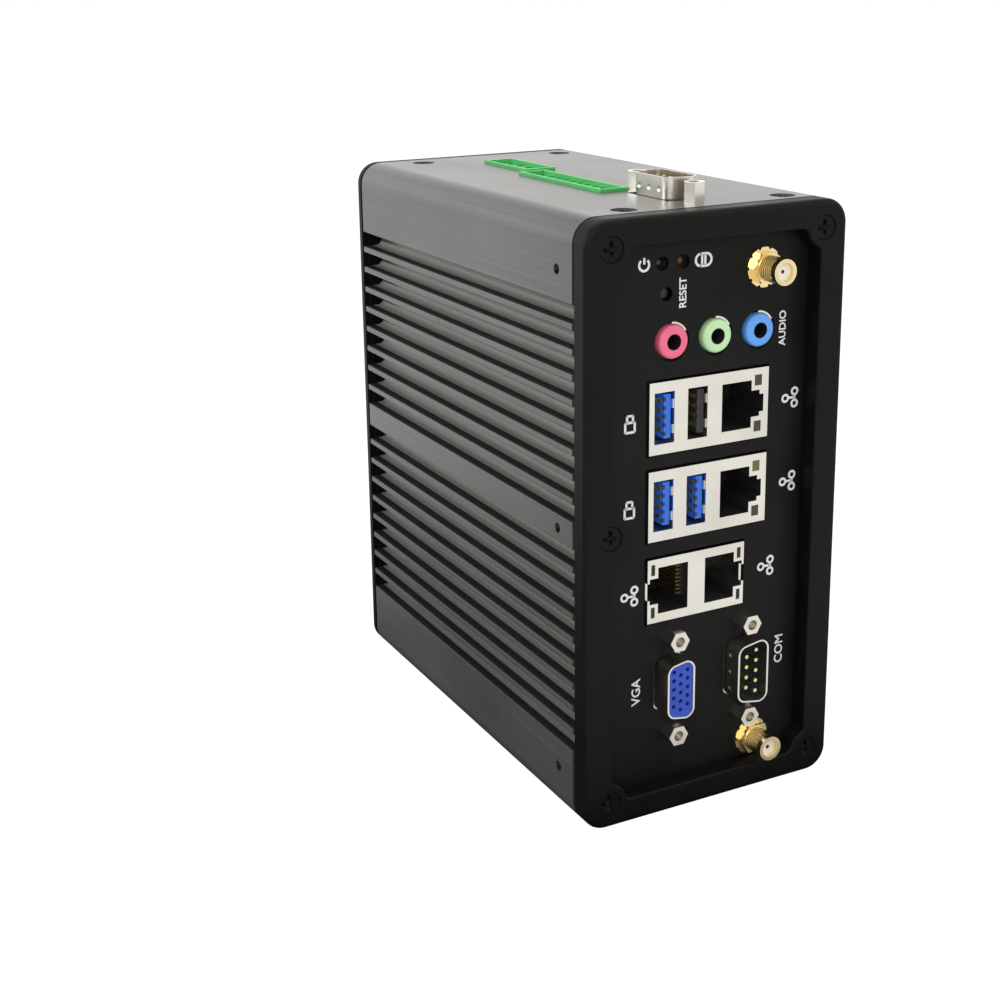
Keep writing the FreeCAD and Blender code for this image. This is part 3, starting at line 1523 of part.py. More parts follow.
def audio_places():
    """Centres of the three audio sockets across the panel."""
    return [size("audio_first") + size("audio_pitch") * i for i in range(3)]


def make_audio():
    """Three audio sockets: coloured rings in one moulded block, with a plated shield."""
    face = front - size("audio_proud")
    ring, bore, half = size("audio_ring"), size("audio_bore"), size("audio_half")
    start = panel_back + size("audio_setback")
    places = audio_places()
    low, high = AUDIO_HIGH - half, AUDIO_HIGH + half
    shell = block("audio_body", (board, start, low), (places[2] + half, start + size("audio_deep"), high))
    deep = size("audio_bore_deep") + spare
    tools = [rod("audio_bore", (x, start - spare, AUDIO_HIGH), bore, deep) for x in places]
    place(cut("audio_block", shell, *tools), "audio_block")
    shield_start = start - size("shield_thick")
    plate = block("audio_plate", (board, shield_start, low), (places[2] + half, start, high))
    clear = ring + size("shield_clear")
    tab_inner = ring + size("tab_gap")
    tools, tabs = [], []
    for x in places:
        mouth, deep = (x, shield_start - spare, AUDIO_HIGH), size("shield_thick") + spare * 2
        tools.append(rod("audio_clear", mouth, clear, deep))
        sleeve = rod("tab_sleeve", (x, front, AUDIO_HIGH), tab_inner + size("tab_thick"), start - front)
        foot = rod("tab_foot", (x, shield_start, AUDIO_HIGH), clear + gap, start - shield_start)
        room = rod("tab_room", (x, front - spare, AUDIO_HIGH), tab_inner, start - front + spare * 2)
        far = (x + size("tab_wide"), start, AUDIO_HIGH + half)
        sector = block("tab_sector", (x, front, AUDIO_HIGH + size("tab_low")), far)
        tabs.append(common("tab", cut("tab_band", fuse("tab_whole", sleeve, foot), room), sector))
    shield = fuse("audio_shield", cut("audio_sheet", plate, *tools), *tabs)
    place(shield, "audio_shield")
    for name, x in zip(("microphone", "line_out", "line_in"), places):
        body = new_body(f"{name}_tube")
        sketch = new_sketch(body, f"{name}_outline", "XZ_Plane", -face)
        circle(sketch, x, AUDIO_HIGH, ring)
        circle(sketch, x, AUDIO_HIGH, bore)
        tube = pad(body, sketch, start - face, f"{name}_pad")

        def outer_lip(ends, edge):
            """The front edge of the ring's outside."""
            return len(ends) == 1 and near(ends[0].y, face) and near(edge.Curve.Radius, ring)

        fillet(body, tube, size("audio_round"), f"{name}_lip", outer_lip)
        place(body, f"{name}_ring")


# --------------------------------------------------------------- rail clip


def bracket_screw_places():
    """Four screws that hold the rail clip to the rear cover."""
    x, z = width / 2, size("rail_mid")
    reach, rise = size("clip_wide") / 2 - size("clip_screw_side"), size("clip_screw_rise")
    return [(x + reach * a, z + rise * b) for a in (-1, 1) for b in (-1, 1)]


def make_rail_clip():
    """Bracket with a fixed upper hook, sliding lower latch, its spring and four screws."""
    x, z = width / 2, size("rail_mid")
    half, tall = size("clip_wide") / 2, size("rail_tall") / 2
    plate_back = depth + size("clip_plate")
    lip_room = size("rail_lip") + gap
    hook_start = plate_back + lip_room
    hook_end = hook_start + size("clip_hook")
    body = new_body("bracket_plate")
    sketch = new_sketch(body, "bracket_profile", "YZ_Plane", x - half)
    top = z + tall + gap
    over = size("clip_overlap")
    polygon(
        sketch,
        [
            (depth, z - tall - size("clip_drop")),
            (plate_back, z - tall - size("clip_drop")),
            (plate_back, top),
            (hook_start, top),
            (hook_start, top - over),
            (hook_end, top - over),
            (hook_end, top + size("hook_rise")),
            (depth, top + size("hook_rise")),
        ],
    )
    pad(body, sketch, half * 2, "bracket_pad", backwards=False)
    tools = []
    for sx, sz in bracket_screw_places():
        tools += seat_tools((sx, plate_back, sz), size("clip_plate") + spare, "y", -1)
    wing, neck = size("latch_wing") / 2, size("latch_neck") / 2
    low, high = z - tall - size("clip_drop") - spare, z - tall + size("channel_rise")
    inner = depth + size("channel_floor")
    room = inner + size("latch_thick") + gap * 2
    tools.append(block("wing_channel", (x - wing - gap, inner, low), (x + wing + gap, room, high)))
    tools.append(block("neck_channel", (x - neck - gap, room, low),
                       (x + neck + gap, plate_back + spare, high)))
    peg_low, peg_half, edge = z - tall - size("peg_drop"), size("peg_half"), size("peg_edge")
    peg_high = peg_low + size("peg_tall")
    far = (x + peg_half, plate_back - edge, peg_high)
    peg = block("spring_peg", (x - peg_half, inner - edge, peg_low), far)
    bracket = fuse("rail_bracket_pegged", cut("rail_bracket_cut", body, *tools), peg)
    place(bracket, "rail_bracket")
    screws = [
        countersunk_screw("bracket_screw", (sx, plate_back, sz), "y", -1, size("clip_screw"))
        for sx, sz in bracket_screw_places()
    ]
    place(group("bracket_screws", *screws), "bracket_screws")
    foot = z - tall
    slide = inner + gap
    slide_end = slide + size("latch_thick")
    latch_low, latch_high = foot - size("latch_drop"), foot + size("latch_rise")
    wings = block("latch_wings", (x - wing, slide, latch_low), (x + wing, slide_end, latch_high))
    handle_low = foot - size("handle_drop")
    handle_high, handle_out = handle_low + size("handle_tall"), plate_back + size("handle_out")
    spine = block("latch_spine", (x - neck, slide, handle_low), (x + neck, plate_back, latch_high))
    nose_body = new_body("latch_nose")
    sketch = new_sketch(nose_body, "nose_profile", "YZ_Plane", x - neck)
    under_rail, nose_face = foot - gap, plate_back + size("nose_out")
    polygon(
        sketch,
        [
            (plate_back - spare, handle_low),
            (handle_out, handle_low),
            (handle_out, handle_high),
            (nose_face, handle_high + size("nose_slope")),
            (nose_face, foot - size("nose_low")),
            (hook_end, foot - size("nose_mid")),
            (hook_end + size("nose_round"), foot - size("nose_high")),
            (hook_start + size("nose_out"), foot + over - gap),
            (hook_start, foot + over - gap),
            (hook_start, under_rail),
            (plate_back - spare, under_rail),
        ],
    )
    pad(nose_body, sketch, neck * 2, "nose_pad", backwards=False)
    side, window_low, window_high = size("spring_side"), peg_low - gap, peg_high + size("spring_long")
    far = (x + side, handle_out + spare, window_high)
    window = block("latch_window", (x - side, inner, window_low), far)
    low, high = (x - half, plate_back, under_rail), (x + half, hook_start, foot + size("nose_mid"))
    rail_side = block("rail_room", low, high)
    latch = cut("rail_latch_cut", fuse("rail_latch_whole", wings, spine, nose_body), window, rail_side)
    place(latch, "rail_latch")
    make_spring(x, slide + peg_half, peg_high)


def make_spring(x, y, z):
    """Coil spring that stands on the bracket's peg and pushes the latch up."""
    radius, wire = size("spring_radius"), size("spring_wire")
    long, turns = size("spring_long"), size("spring_turns")
    item = doc.addObject("Part::Feature", "rail_spring")
    rise = long.value - 2 * wire.value
    coil = Part.makeHelix(rise / turns.value, rise, radius.value)
    start = FreeCAD.Vector(radius.value, 0, 0)
    ring = Part.Wire([Part.makeCircle(wire.value, start, FreeCAD.Vector(0, 1, 0))])
    item.Shape = Part.Wire(coil).makePipeShell([ring], True, True)
    move(item, x, y, z + wire)
    return place(item, "rail_spring")


# -------------------------------------------------------------- all pieces

DSUBS = [
    (size("vga_side"), size("vga_long"), size("vga_short")),
    (size("com_side"), size("com_long"), size("com_short")),
]
HEADERS = [
    tuple(size(f"{name}_{part}") for part in ("left", "wide", "front")) + (size(name),)
    for name in ("long_header", "short_header")
]
POST_ROWS = (
    size("board_front") + size("post_inset"),
    depth - size("board_rear") - size("post_rear_inset"),
)
POST_LEVELS = (size("post_low"), BOARD_HIGH - size("post_drop"))


def make_case_screws():
    """The five front, five rear and four cover screws."""
    long, short = size("screw_length"), size("short_screw")
    for x, z in CORNER_SCREWS:
        share(countersunk_screw("front_screw", (x, Size.of(0), z), "y", 1, long), "case_screws")
        share(countersunk_screw("rear_screw", (x, depth, z), "y", -1, long), "case_screws")
    for y, z in cover_screw_places():
        share(countersunk_screw("cover_screw", (width, y, z), "x", -1, short), "cover_screws")


make_chassis()
make_side_cover()
make_front_frame()
make_front_panel()
make_rear_cover()
make_case_screws()
make_main_board()
make_board_posts()
make_processor()
make_memory()
make_storage()
make_clock_cell()
make_combo_block("upper", UPPER_MID, ("usb_tongues_blue", "usb_tongue_black"))
make_combo_block("middle", MIDDLE_MID, ("usb_tongues_blue", "usb_tongues_blue"))
make_twin_block()
make_dsub("vga", *DSUBS[0], male=False)
make_dsub("com", *DSUBS[1], male=True)
make_top_dsub()
make_header("long", HEADERS[0], size("long_pitch"), 10)
make_header("short", HEADERS[1], size("short_pitch"), 4)
make_top_board()
make_coax("upper_antenna", COAX_PLACES[0])
make_coax("lower_antenna", COAX_PLACES[1])
make_lamps()
make_reset()
make_audio()
make_rail_clip()
for label, pieces in shared.items():
    place(group(label, *pieces), label)

doc.recompute()
for item in doc.Objects:
    if "Invalid" in item.State or "Error" in item.State:
        raise RuntimeError(f"{item.Label} did not build: {item.State}")
for item in nodes:
    if item.Shape.isNull() or not item.Shape.isValid():
        raise RuntimeError(f"{item.Label} has no valid shape")
    item.Shape.exportStep(f"parts/{item.Label}.step")
print(len(nodes), "pieces written")
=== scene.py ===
import math

import bmesh
import bpy
from bpy.props import FloatProperty, FloatVectorProperty, IntProperty, PointerProperty
from mathutils import Euler, Matrix, Vector


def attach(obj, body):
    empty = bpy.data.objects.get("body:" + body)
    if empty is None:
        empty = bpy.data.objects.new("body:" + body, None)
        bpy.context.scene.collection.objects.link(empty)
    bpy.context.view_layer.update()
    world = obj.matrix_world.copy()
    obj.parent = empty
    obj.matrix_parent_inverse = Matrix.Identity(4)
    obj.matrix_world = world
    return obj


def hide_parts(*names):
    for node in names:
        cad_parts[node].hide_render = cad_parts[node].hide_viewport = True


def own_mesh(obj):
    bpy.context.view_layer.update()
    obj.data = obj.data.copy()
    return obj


bl_info = {
    "name": "Rail computer studio",
    "version": (1, 0, 0),
    "blender": (4, 5, 0),
    "location": "3D Viewport > Sidebar > Rail computer",
    "description": "Finishes, small details and a plain studio for the fanless rail computer",
    "category": "Object",
}

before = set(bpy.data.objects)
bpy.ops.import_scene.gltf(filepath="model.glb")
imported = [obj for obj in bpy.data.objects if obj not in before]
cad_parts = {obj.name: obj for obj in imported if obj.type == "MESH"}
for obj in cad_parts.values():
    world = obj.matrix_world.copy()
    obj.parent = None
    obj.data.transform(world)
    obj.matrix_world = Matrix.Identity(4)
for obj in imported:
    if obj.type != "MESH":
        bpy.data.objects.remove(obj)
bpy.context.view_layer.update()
MM = 0.001

# the case, in millimetres from its left face, its front face and its base
HALF_WIDE = 36.5
HALF_DEEP = 66.0
PANEL_FACE = 5.2
FINS_TOP = 140.0
AUDIO_HIGH = 119.0
AUDIO_LEFT = {"pink": 26.3, "lime": 38.65, "sky": 51.0}
AUDIO_BORE = (1.87, 2.05)
LIT_WINDOW = (80.0, 90.0)

# distances of the fins from the middle of the case
FIN_ROOTS = 29.5
FIN_EDGES = (33.6, 34.2)


def case_point(x, y, z):
    """A place in case millimetres, in the part's frame."""
    return Vector(((x - HALF_WIDE) * MM, (y - HALF_DEEP) * MM, z * MM))


# ------------------------------------------------------------------ shaders


class Value:
    """One output of a shader graph, which takes part in ordinary arithmetic."""

    def __init__(self, graph, socket):
        self.graph = graph
        self.socket = socket

    def __add__(self, other):
        return self.graph.math("ADD", self, other)

    def __radd__(self, other):
        return self.graph.math("ADD", other, self)

    def __sub__(self, other):
        return self.graph.math("SUBTRACT", self, other)

    def __rsub__(self, other):
        return self.graph.math("SUBTRACT", other, self)

    def __mul__(self, other):
        return self.graph.math("MULTIPLY", self, other)

    def __rmul__(self, other):
        return self.graph.math("MULTIPLY", other, self)

    def __truediv__(self, other):
        return self.graph.math("DIVIDE", self, other)

    def __rtruediv__(self, other):
        return self.graph.math("DIVIDE", other, self)

    def above(self, limit):
        return self.graph.math("GREATER_THAN", self, limit)

    def clamped(self):
        """The value kept between 0 and 1."""
        return self.graph.math("MINIMUM", self.graph.math("MAXIMUM", self, 0.0), 1.0)


class Graph:
    """A node tree that is written as arithmetic on its outputs."""

    def __init__(self, holder):
        holder.use_nodes = True
        self.holder = holder
        self.tree = holder.node_tree
        self.tree.nodes.clear()

    def connect(self, given, socket):
        """Link a value to an input, or set the input to a plain number or colour."""
        if isinstance(given, Value):
            self.tree.links.new(given.socket, socket)
        elif hasattr(given, "__len__") and len(given) == 3 and len(socket.default_value) == 4:
            socket.default_value = (*given, 1.0)
        else:
            socket.default_value = given

    def node(self, kind, inputs=(), output=0, **settings):
        """Any node: its settings, its inputs by name or number, and one of its outputs."""
        item = self.tree.nodes.new(kind)
        for field, choice in settings.items():
            setattr(item, field, choice)
        for key, given in dict(inputs).items():
            self.connect(given, item.inputs[key])
        return Value(self, item.outputs[output])

    def math(self, operation, first, second):
        return self.node("ShaderNodeMath", {0: first, 1: second}, operation=operation)

    def mix(self, amount, first, second):
        """Blend two colours."""
        inputs = {0: amount, 6: first, 7: second}
        return self.node("ShaderNodeMix", inputs, output=2, data_type="RGBA")

    def place(self):
        """The point's place on the part, in metres."""
        return self.node("ShaderNodeTexCoord", output=3)

    def axes(self, vector):
        """The three parts of a vector."""
        split = self.tree.nodes.new("ShaderNodeSeparateXYZ")
        self.connect(vector, split.inputs[0])
        return [Value(self, part) for part in split.outputs]

    def stretched(self, scale):
        """The point's place with each axis scaled."""
        inputs = {0: self.place(), 1: scale}
        return self.node("ShaderNodeVectorMath", inputs, operation="MULTIPLY")

    def noise(self, scale, detail=2.0, stretch=(1.0, 1.0, 1.0)):
        """Soft noise from 0 to 1, with its scale in cycles per metre."""
        inputs = {"Vector": self.stretched(stretch), "Scale": scale, "Detail": detail}
        return self.node("ShaderNodeTexNoise", inputs)

    def spread(self, value, low, high):
        """Move a noise value from its usual middle range to a new range."""
        return low + (value - 0.3).clamped() * ((high - low) * 2.5)

    def bump(self, height, strength, distance):
        inputs = {"Strength": strength, "Distance": distance, "Height": height}
        return self.node("ShaderNodeBump", inputs)

    def ramp(self, value, low, high):
        """0 below one value, 1 above another, and smooth between them."""
        inputs = {0: value, 1: low, 2: high, 3: 0.0, 4: 1.0}
        return self.node("ShaderNodeMapRange", inputs, interpolation_type="SMOOTHSTEP")

    def choose(self, amount, first, second):
        """One of two shaders."""
        return self.node("ShaderNodeMixShader", {0: amount, 1: first, 2: second})


class Surface(Graph):
    """A material around one Principled shader."""

    def __init__(self, name):
        super().__init__(bpy.data.materials.new(name))
        self.shader = self.tree.nodes.new("ShaderNodeBsdfPrincipled")
        self.output = self.tree.nodes.new("ShaderNodeOutputMaterial")
        self.tree.links.new(self.shader.outputs[0], self.output.inputs["Surface"])

    def finish(self, **inputs):
        """Set or link the shader's inputs, written with underscores for spaces."""
        for key, given in inputs.items():
            self.connect(given, self.shader.inputs[key.replace("_", " ")])
        return self.holder


def plain_surface(name, colour, rough, metal=0.0, grain=3000.0, depth=0.00001, blotch=0.12, **extra):
    """A worked surface: fine grain, slow colour variation and uneven gloss."""
    g = Surface(name)
    slow = g.noise(60.0, 3.0)
    fine = g.noise(grain, 2.0)
    darker = [c * (1.0 - blotch) for c in colour]
    lighter = [min(1.0, c * (1.0 + blotch)) for c in colour]
    tone = g.mix(g.spread(slow, 0.0, 1.0), darker, lighter)
    gloss = g.spread(slow, rough - 0.05, rough + 0.05) + (fine - 0.5) * 0.06
    return g.finish(
        Base_Color=tone,
        Roughness=gloss,
        Metallic=metal,
        Normal=g.bump(fine, 0.35, depth),
        **extra,
    )


def anodised_surface(name, colour, rough, painted_shade_ledge, painted_light_root):
    """Anodised extrusion: fine pits, faint lines, painted shade darkening the outer fin tops and
    painted light making them paler near the roots.
    """
    g = Surface(name)
    across, _, tall = g.axes(g.place())
    facing = g.axes(g.node("ShaderNodeTexCoord", output=1))[2]
    aside = across * across
    finned = (1.0 - tall.above(FINS_TOP * MM)) * aside.above((FIN_ROOTS * MM) ** 2)
    # upward fin faces, which get painted shade on their outer part and painted light near the roots
    painted_fin_tops = facing.above(0.45) * finned
    inner, outer = FIN_EDGES
    outside = g.ramp(aside, (inner * MM) ** 2, (outer * MM) ** 2)
    pits = g.noise(3400.0, 3.0)
    lines = g.noise(1400.0, 2.0, (1.0, 0.006, 1.0))
    slow = g.noise(24.0, 3.0)
    darker = [c * 0.80 for c in colour]
    lighter = [c * 1.18 for c in colour]
    tone = g.mix(g.spread(slow, 0.0, 0.7) + (lines - 0.5) * 1.6, darker, lighter)
    gloss = g.spread(slow, rough - 0.03, rough + 0.04) + (pits - 0.5) * 0.12
    height = pits * 0.7 + lines * 0.3
    return g.finish(
        # painted shade on the outer fin tops, painted light near their roots, the anodised tone
        # elsewhere
        Base_Color=g.mix(painted_fin_tops, tone, g.mix(outside, painted_light_root, painted_shade_ledge)),
        Roughness=gloss + painted_fin_tops * 0.3,
        Metallic=0.3,
        Normal=g.bump(height, 0.4, 0.000016),
    )


def panel_surface(name):
    """Black coated sheet with a fine orange-peel grain."""
    g = Surface(name)
    grain = g.noise(4200.0, 2.0)
    slow = g.noise(40.0, 3.0)
    return g.finish(
        Base_Color=g.mix(g.spread(slow, 0.0, 1.0), (0.0055, 0.0055, 0.0052), (0.0085, 0.0085, 0.008)),
        Roughness=g.spread(slow, 0.44, 0.52) + (grain - 0.5) * 0.1,
        Specular_IOR_Level=0.12,
        Normal=g.bump(grain, 0.5, 0.000014),
    )


def ring_surface(name, colour, x):
    """Coloured plastic around an audio socket, in shadow inside its bore."""
    g = Surface(name)
    across, _, tall = g.axes(g.place())
    middle = case_point(x, 0.0, AUDIO_HIGH)
    aside, above = across - middle.x, tall - middle.z
    away = g.math("SQRT", aside * aside + above * above, 0.0)
    inner, outer = AUDIO_BORE
    inside = 1.0 - g.ramp(away, inner * MM, outer * MM)
    fine, slow = g.noise(2600.0, 2.0), g.noise(80.0, 3.0)
    darker, lighter = [c * 0.92 for c in colour], [min(1.0, c * 1.06) for c in colour]
    tone = g.mix(g.spread(slow, 0.0, 1.0), darker, lighter)
    return g.finish(
        Base_Color=g.mix(inside, tone, [c * 0.02 for c in colour]),
        Roughness=0.28 + fine * 0.1 + inside * 0.3,
        Normal=g.bump(fine, 0.35, 0.00001),
    )


def light_surface(name, low, high):
    """Clear windows that look grey when dark, and yellow between two heights."""
    g = Surface(name)
    tall = g.axes(g.place())[2]
    yellow = tall.above(low * MM) * (1.0 - tall.above(high * MM))
    cells = g.noise(1600.0, 2.0)
    grey = g.mix(cells, (0.012, 0.012, 0.009), (0.06, 0.058, 0.045))
    lit = g.mix(cells, (0.07, 0.065, 0.01), (0.20, 0.18, 0.04))
    return g.finish(
        Base_Color=g.mix(yellow, grey, lit),
        Roughness=0.2 + cells * 0.2,
        Normal=g.bump(cells, 0.6, 0.0001),
    )


def thread_surface(name, colour, rough, pitch, first, last):
    """Bright metal with a fine thread between two depths from the front face."""
    g = Surface(name)
    along = g.axes(g.place())[1]
    start, end = (first - HALF_DEEP) * MM, (last - HALF_DEEP) * MM
    inside = along.above(start) * (1.0 - along.above(end))
    ridge = g.math("PINGPONG", along, pitch * MM / 2) / (pitch * MM / 2)
    slow = g.noise(220.0, 2.0)
    fine = g.noise(4000.0, 2.0)
    tone = g.mix(g.spread(slow, 0.0, 1.0), [c * 0.86 for c in colour], colour)
    return g.finish(
        Base_Color=tone,
        Roughness=g.spread(slow, rough - 0.05, rough + 0.06),
        Metallic=1.0,
        Normal=g.bump(ridge * inside + fine * 0.05, 0.7, 0.00014),
    )


def board_surface(name):
    """Green solder mask over copper tracks."""
    g = Surface(name)
    cells = {"Vector": g.stretched((1.0, 1.0, 1.0)), "Scale": 420.0}
    track = g.node("ShaderNodeTexVoronoi", cells, distance="CHEBYCHEV").above(0.42)
    fine = g.noise(2500.0, 2.0)
    tone = g.mix(track, (0.012, 0.10, 0.035), (0.025, 0.17, 0.06))
    return g.finish(
        Base_Color=tone,
        Roughness=0.34 + fine * 0.1,
        Normal=g.bump(track * 0.6 + fine * 0.2, 0.4, 0.00003),
    )


def print_surface(name):
    """White screen ink, a little uneven."""
    g = Surface(name)
    fine = g.noise(7000.0, 2.0)
    tone = g.mix(fine, (0.62, 0.62, 0.61), (0.86, 0.86, 0.85))
    return g.finish(Base_Color=tone, Roughness=0.5 + fine * 0.15, Normal=g.bump(fine, 0.3, 0.00001))


BLACK_PAINT = (0.0055, 0.0055, 0.0048)
COAT = {"Specular_IOR_Level": 0.1}


def make_materials():
    """Every finish, by the name that the tables below use."""
    gold = (0.92, 0.74, 0.40)
    nickel = (0.76, 0.73, 0.66)
    return {
        "anodised": anodised_surface(
            "anodised_aluminium",
            colour=(0.10, 0.098, 0.094),
            rough=0.3,
            # the ledge colour is painted shade on the outer fin tops; the root colour is painted light
            # near the roots
            painted_shade_ledge=(0.007, 0.007, 0.006),
            painted_light_root=(0.25, 0.244, 0.23),
        ),
        "frame_paint": plain_surface("satin_black_paint", BLACK_PAINT, 0.42, 0.0, 3600.0, **COAT),
        "panel_paint": panel_surface("panel_coat"),
        "black_screw": plain_surface("black_oxide", (0.006, 0.006, 0.006), 0.36, 0.0, **COAT),
        "nickel": plain_surface("nickel_plate", nickel, 0.24, 1.0, 1400.0, 0.00002, 0.08),
        "gold": plain_surface("gold_plate", gold, 0.24, 1.0, 1800.0, 0.00001, 0.08),
        "gold_thread": thread_surface("gold_thread", gold, 0.2, 0.705, -2.4, 2.4),
        "contact_gold": plain_surface("contact_gold", (0.85, 0.66, 0.33), 0.28, 1.0),
        "board": board_surface("solder_mask"),
        "chip": plain_surface("chip_epoxy", (0.02, 0.02, 0.022), 0.5),
        "pad": plain_surface("thermal_pad_rubber", (0.35, 0.38, 0.45), 0.7),
        "aluminium": plain_surface("milled_aluminium", (0.7, 0.7, 0.7), 0.34, 1.0),
        "zinc": plain_surface("zinc_plate", (0.55, 0.56, 0.58), 0.36, 1.0, 900.0, 0.00003, 0.16),
        "black_plastic": plain_surface("black_plastic", (0.016, 0.016, 0.017), 0.42),
        "blue_plastic": plain_surface("blue_plastic", (0.02, 0.15, 0.72), 0.34),
        "deep_blue": plain_surface("deep_blue_plastic", (0.02, 0.065, 0.46), 0.36),
        "teal_plastic": plain_surface("dark_teal_plastic", (0.002, 0.018, 0.022), 0.5, **COAT),
        "green_plastic": plain_surface("green_plastic", (0.06, 0.42, 0.10), 0.40),
        "white_plastic": plain_surface("white_fluoropolymer", (0.83, 0.80, 0.72), 0.45),
        "pink_plastic": ring_surface("pink_plastic", (0.80, 0.14, 0.25), AUDIO_LEFT["pink"]),
        "lime_plastic": ring_surface("lime_plastic", (0.50, 0.76, 0.42), AUDIO_LEFT["lime"]),
        "sky_plastic": ring_surface("sky_plastic", (0.11, 0.34, 0.82), AUDIO_LEFT["sky"]),
        "lamp_clear": plain_surface("clear_resin", (0.018, 0.018, 0.018), 0.18),
        "lamp_amber": plain_surface("amber_resin", (0.09, 0.045, 0.012), 0.18),
        "light_pipe": light_surface("light_pipe_resin", *LIT_WINDOW),
    }


FINISHES = {
    "chassis": "anodised",
    "side_cover": "anodised",
    "front_frame": "frame_paint",
    "rear_cover": "frame_paint",
    "front_panel": "panel_paint",
    "case_screws": "black_screw",
    "cover_screws": "black_screw",
    "bracket_screws": "black_screw",
    "board_screws": "nickel",
    "main_board": "board",
    "top_board": "board",
    "memory_module": "board",
    "drive_module": "board",
    "board_posts": "aluminium",
    "top_board_posts": "aluminium",
    "processor": "chip",
    "thermal_pad": "pad",
    "heat_spreader": "aluminium",
    "memory_socket": "black_plastic",
    "drive_socket": "black_plastic",
    "drive_post": "nickel",
    "cell_holder": "black_plastic",
    "clock_cell": "nickel",
    "upper_port_shell": "nickel",
    "middle_port_shell": "nickel",
    "lower_port_shell": "nickel",
    "lan_sockets": "black_plastic",
    "lan_lights": "light_pipe",
    "lan_contacts": "contact_gold",
    "usb_tongues_blue": "blue_plastic",
    "usb_tongue_black": "black_plastic",
    "vga_shell": "nickel",
    "vga_insert": "deep_blue",
    "com_shell": "nickel",
    "com_insert": "teal_plastic",
    "com_pins": "contact_gold",
    "jack_screws": "nickel",
    "top_com_shell": "nickel",
    "top_com_insert": "black_plastic",
    "long_terminal_header": "green_plastic",
    "short_terminal_header": "green_plastic",
    "terminal_pins": "nickel",
    "antenna_sockets": "gold_thread",
    "antenna_washers": "gold",
    "antenna_nuts": "gold",
    "antenna_insulators": "white_plastic",
    "antenna_contacts": "contact_gold",
    "power_lamp": "lamp_clear",
    "drive_lamp": "lamp_amber",
    "lamp_holder": "black_plastic",
    "reset_switch": "black_plastic",
    "reset_button": "black_plastic",
    "audio_block": "black_plastic",
    "audio_shield": "nickel",
    "microphone_ring": "pink_plastic",
    "line_out_ring": "lime_plastic",
    "line_in_ring": "sky_plastic",
    "rail_bracket": "zinc",
    "rail_latch": "zinc",
    "rail_spring": "zinc",
}


def give(item, material):
    """Make a material an object's only one."""
    item.data.materials.clear()
    item.data.materials.append(material)


# ------------------------------------------------------------------- pieces

FRONT = Matrix.Rotation(math.pi / 2, 4, "X")
UPRIGHT = FRONT @ Matrix.Rotation(math.pi / 2, 4, "Z")
WELD = 0.000002


def solid_box(low, high):
    """A box between two corners in case millimetres."""
    first, last = case_point(*low), case_point(*high)
    bpy.ops.mesh.primitive_cube_add(size=1.0, location=(first + last) / 2)
    item = bpy.context.object
    item.scale = last - first
    return item


def flat_ring(x, z, radius, width, thick):
    """A printed ring on the panel."""
    bpy.ops.mesh.primitive_torus_add(
        location=case_point(x, PANEL_FACE, z),
        rotation=FRONT.to_euler(),
        major_segments=28,
        minor_segments=6,
        major_radius=radius * MM,
        minor_radius=width * MM / 2,
    )
    item = bpy.context.object
    item.scale = (1.0, 1.0, thick / (width / 2))
    return item


def flat_bar(start, end, width, thick):
    """A printed line on the panel, between two places given as x and z."""
    across, up = end[0] - start[0], end[1] - start[1]
    middle = case_point((start[0] + end[0]) / 2, PANEL_FACE, (start[1] + end[1]) / 2)
    turned = (0.0, -math.atan2(up, across), 0.0)
    bpy.ops.mesh.primitive_cube_add(size=1.0, location=middle, rotation=turned)
    item = bpy.context.object
    item.scale = (math.hypot(across, up) * MM, thick * 2 * MM, width * MM)
    return item


def open_ring(item, middle, direction, spread):
    """Take a gap out of a ring on the side that a direction points to, and close its ends."""
    bpy.ops.object.transform_apply(location=True, rotation=True, scale=True)
    bpy.ops.object.mode_set(mode="EDIT")
    shape = bmesh.from_edit_mesh(item.data)
    bpy.ops.mesh.select_all(action="DESELECT")
    for point in shape.verts:
        offset = point.co - middle
        if math.acos(max(-1.0, min(1.0, offset.normalized().dot(direction)))) < spread:
            point.select = True
    bmesh.update_edit_mesh(item.data)
    bpy.ops.mesh.delete(type="VERT")
    bpy.ops.mesh.select_all(action="SELECT")
    bpy.ops.mesh.fill_holes(sides=0)
    bpy.ops.object.mode_set(mode="OBJECT")


def word(text, x, z, tall, thick):
    """Printed capitals that read upwards."""
    bpy.ops.object.text_add(location=case_point(x, PANEL_FACE, z), rotation=UPRIGHT.to_euler())
    item = bpy.context.object
    item.data.body = text
    item.data.size = tall * MM * SIZE_OVER_CAPITAL
    item.data.extrude = thick * MM
    item.data.offset = LETTER_SPREAD * MM
    item.data.align_x = "CENTER"
    item.data.align_y = "CENTER"
    item.data.resolution_u = 3
    bpy.ops.object.convert(target="MESH")
    return bpy.context.object


def one_piece(name, parts, material):
    """Join parts into one finished piece of the case, with its place in its mesh."""
    bpy.ops.object.select_all(action="DESELECT")
    for item in parts:
        item.select_set(True)
    bpy.context.view_layer.objects.active = parts[0]
    bpy.ops.object.transform_apply(location=True, rotation=True, scale=True)
    if len(parts) > 1:
        bpy.ops.object.join()
    piece = bpy.context.object
    bpy.ops.object.transform_apply(location=True, rotation=True, scale=True)
    bpy.ops.object.mode_set(mode="EDIT")
    bpy.ops.mesh.select_all(action="SELECT")
    bpy.ops.mesh.remove_doubles(threshold=WELD)
    bpy.ops.mesh.normals_make_consistent(inside=False)
    bpy.ops.object.mode_set(mode="OBJECT")
    piece.name = name
    give(piece, material)
    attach(piece, "case")
    return piece


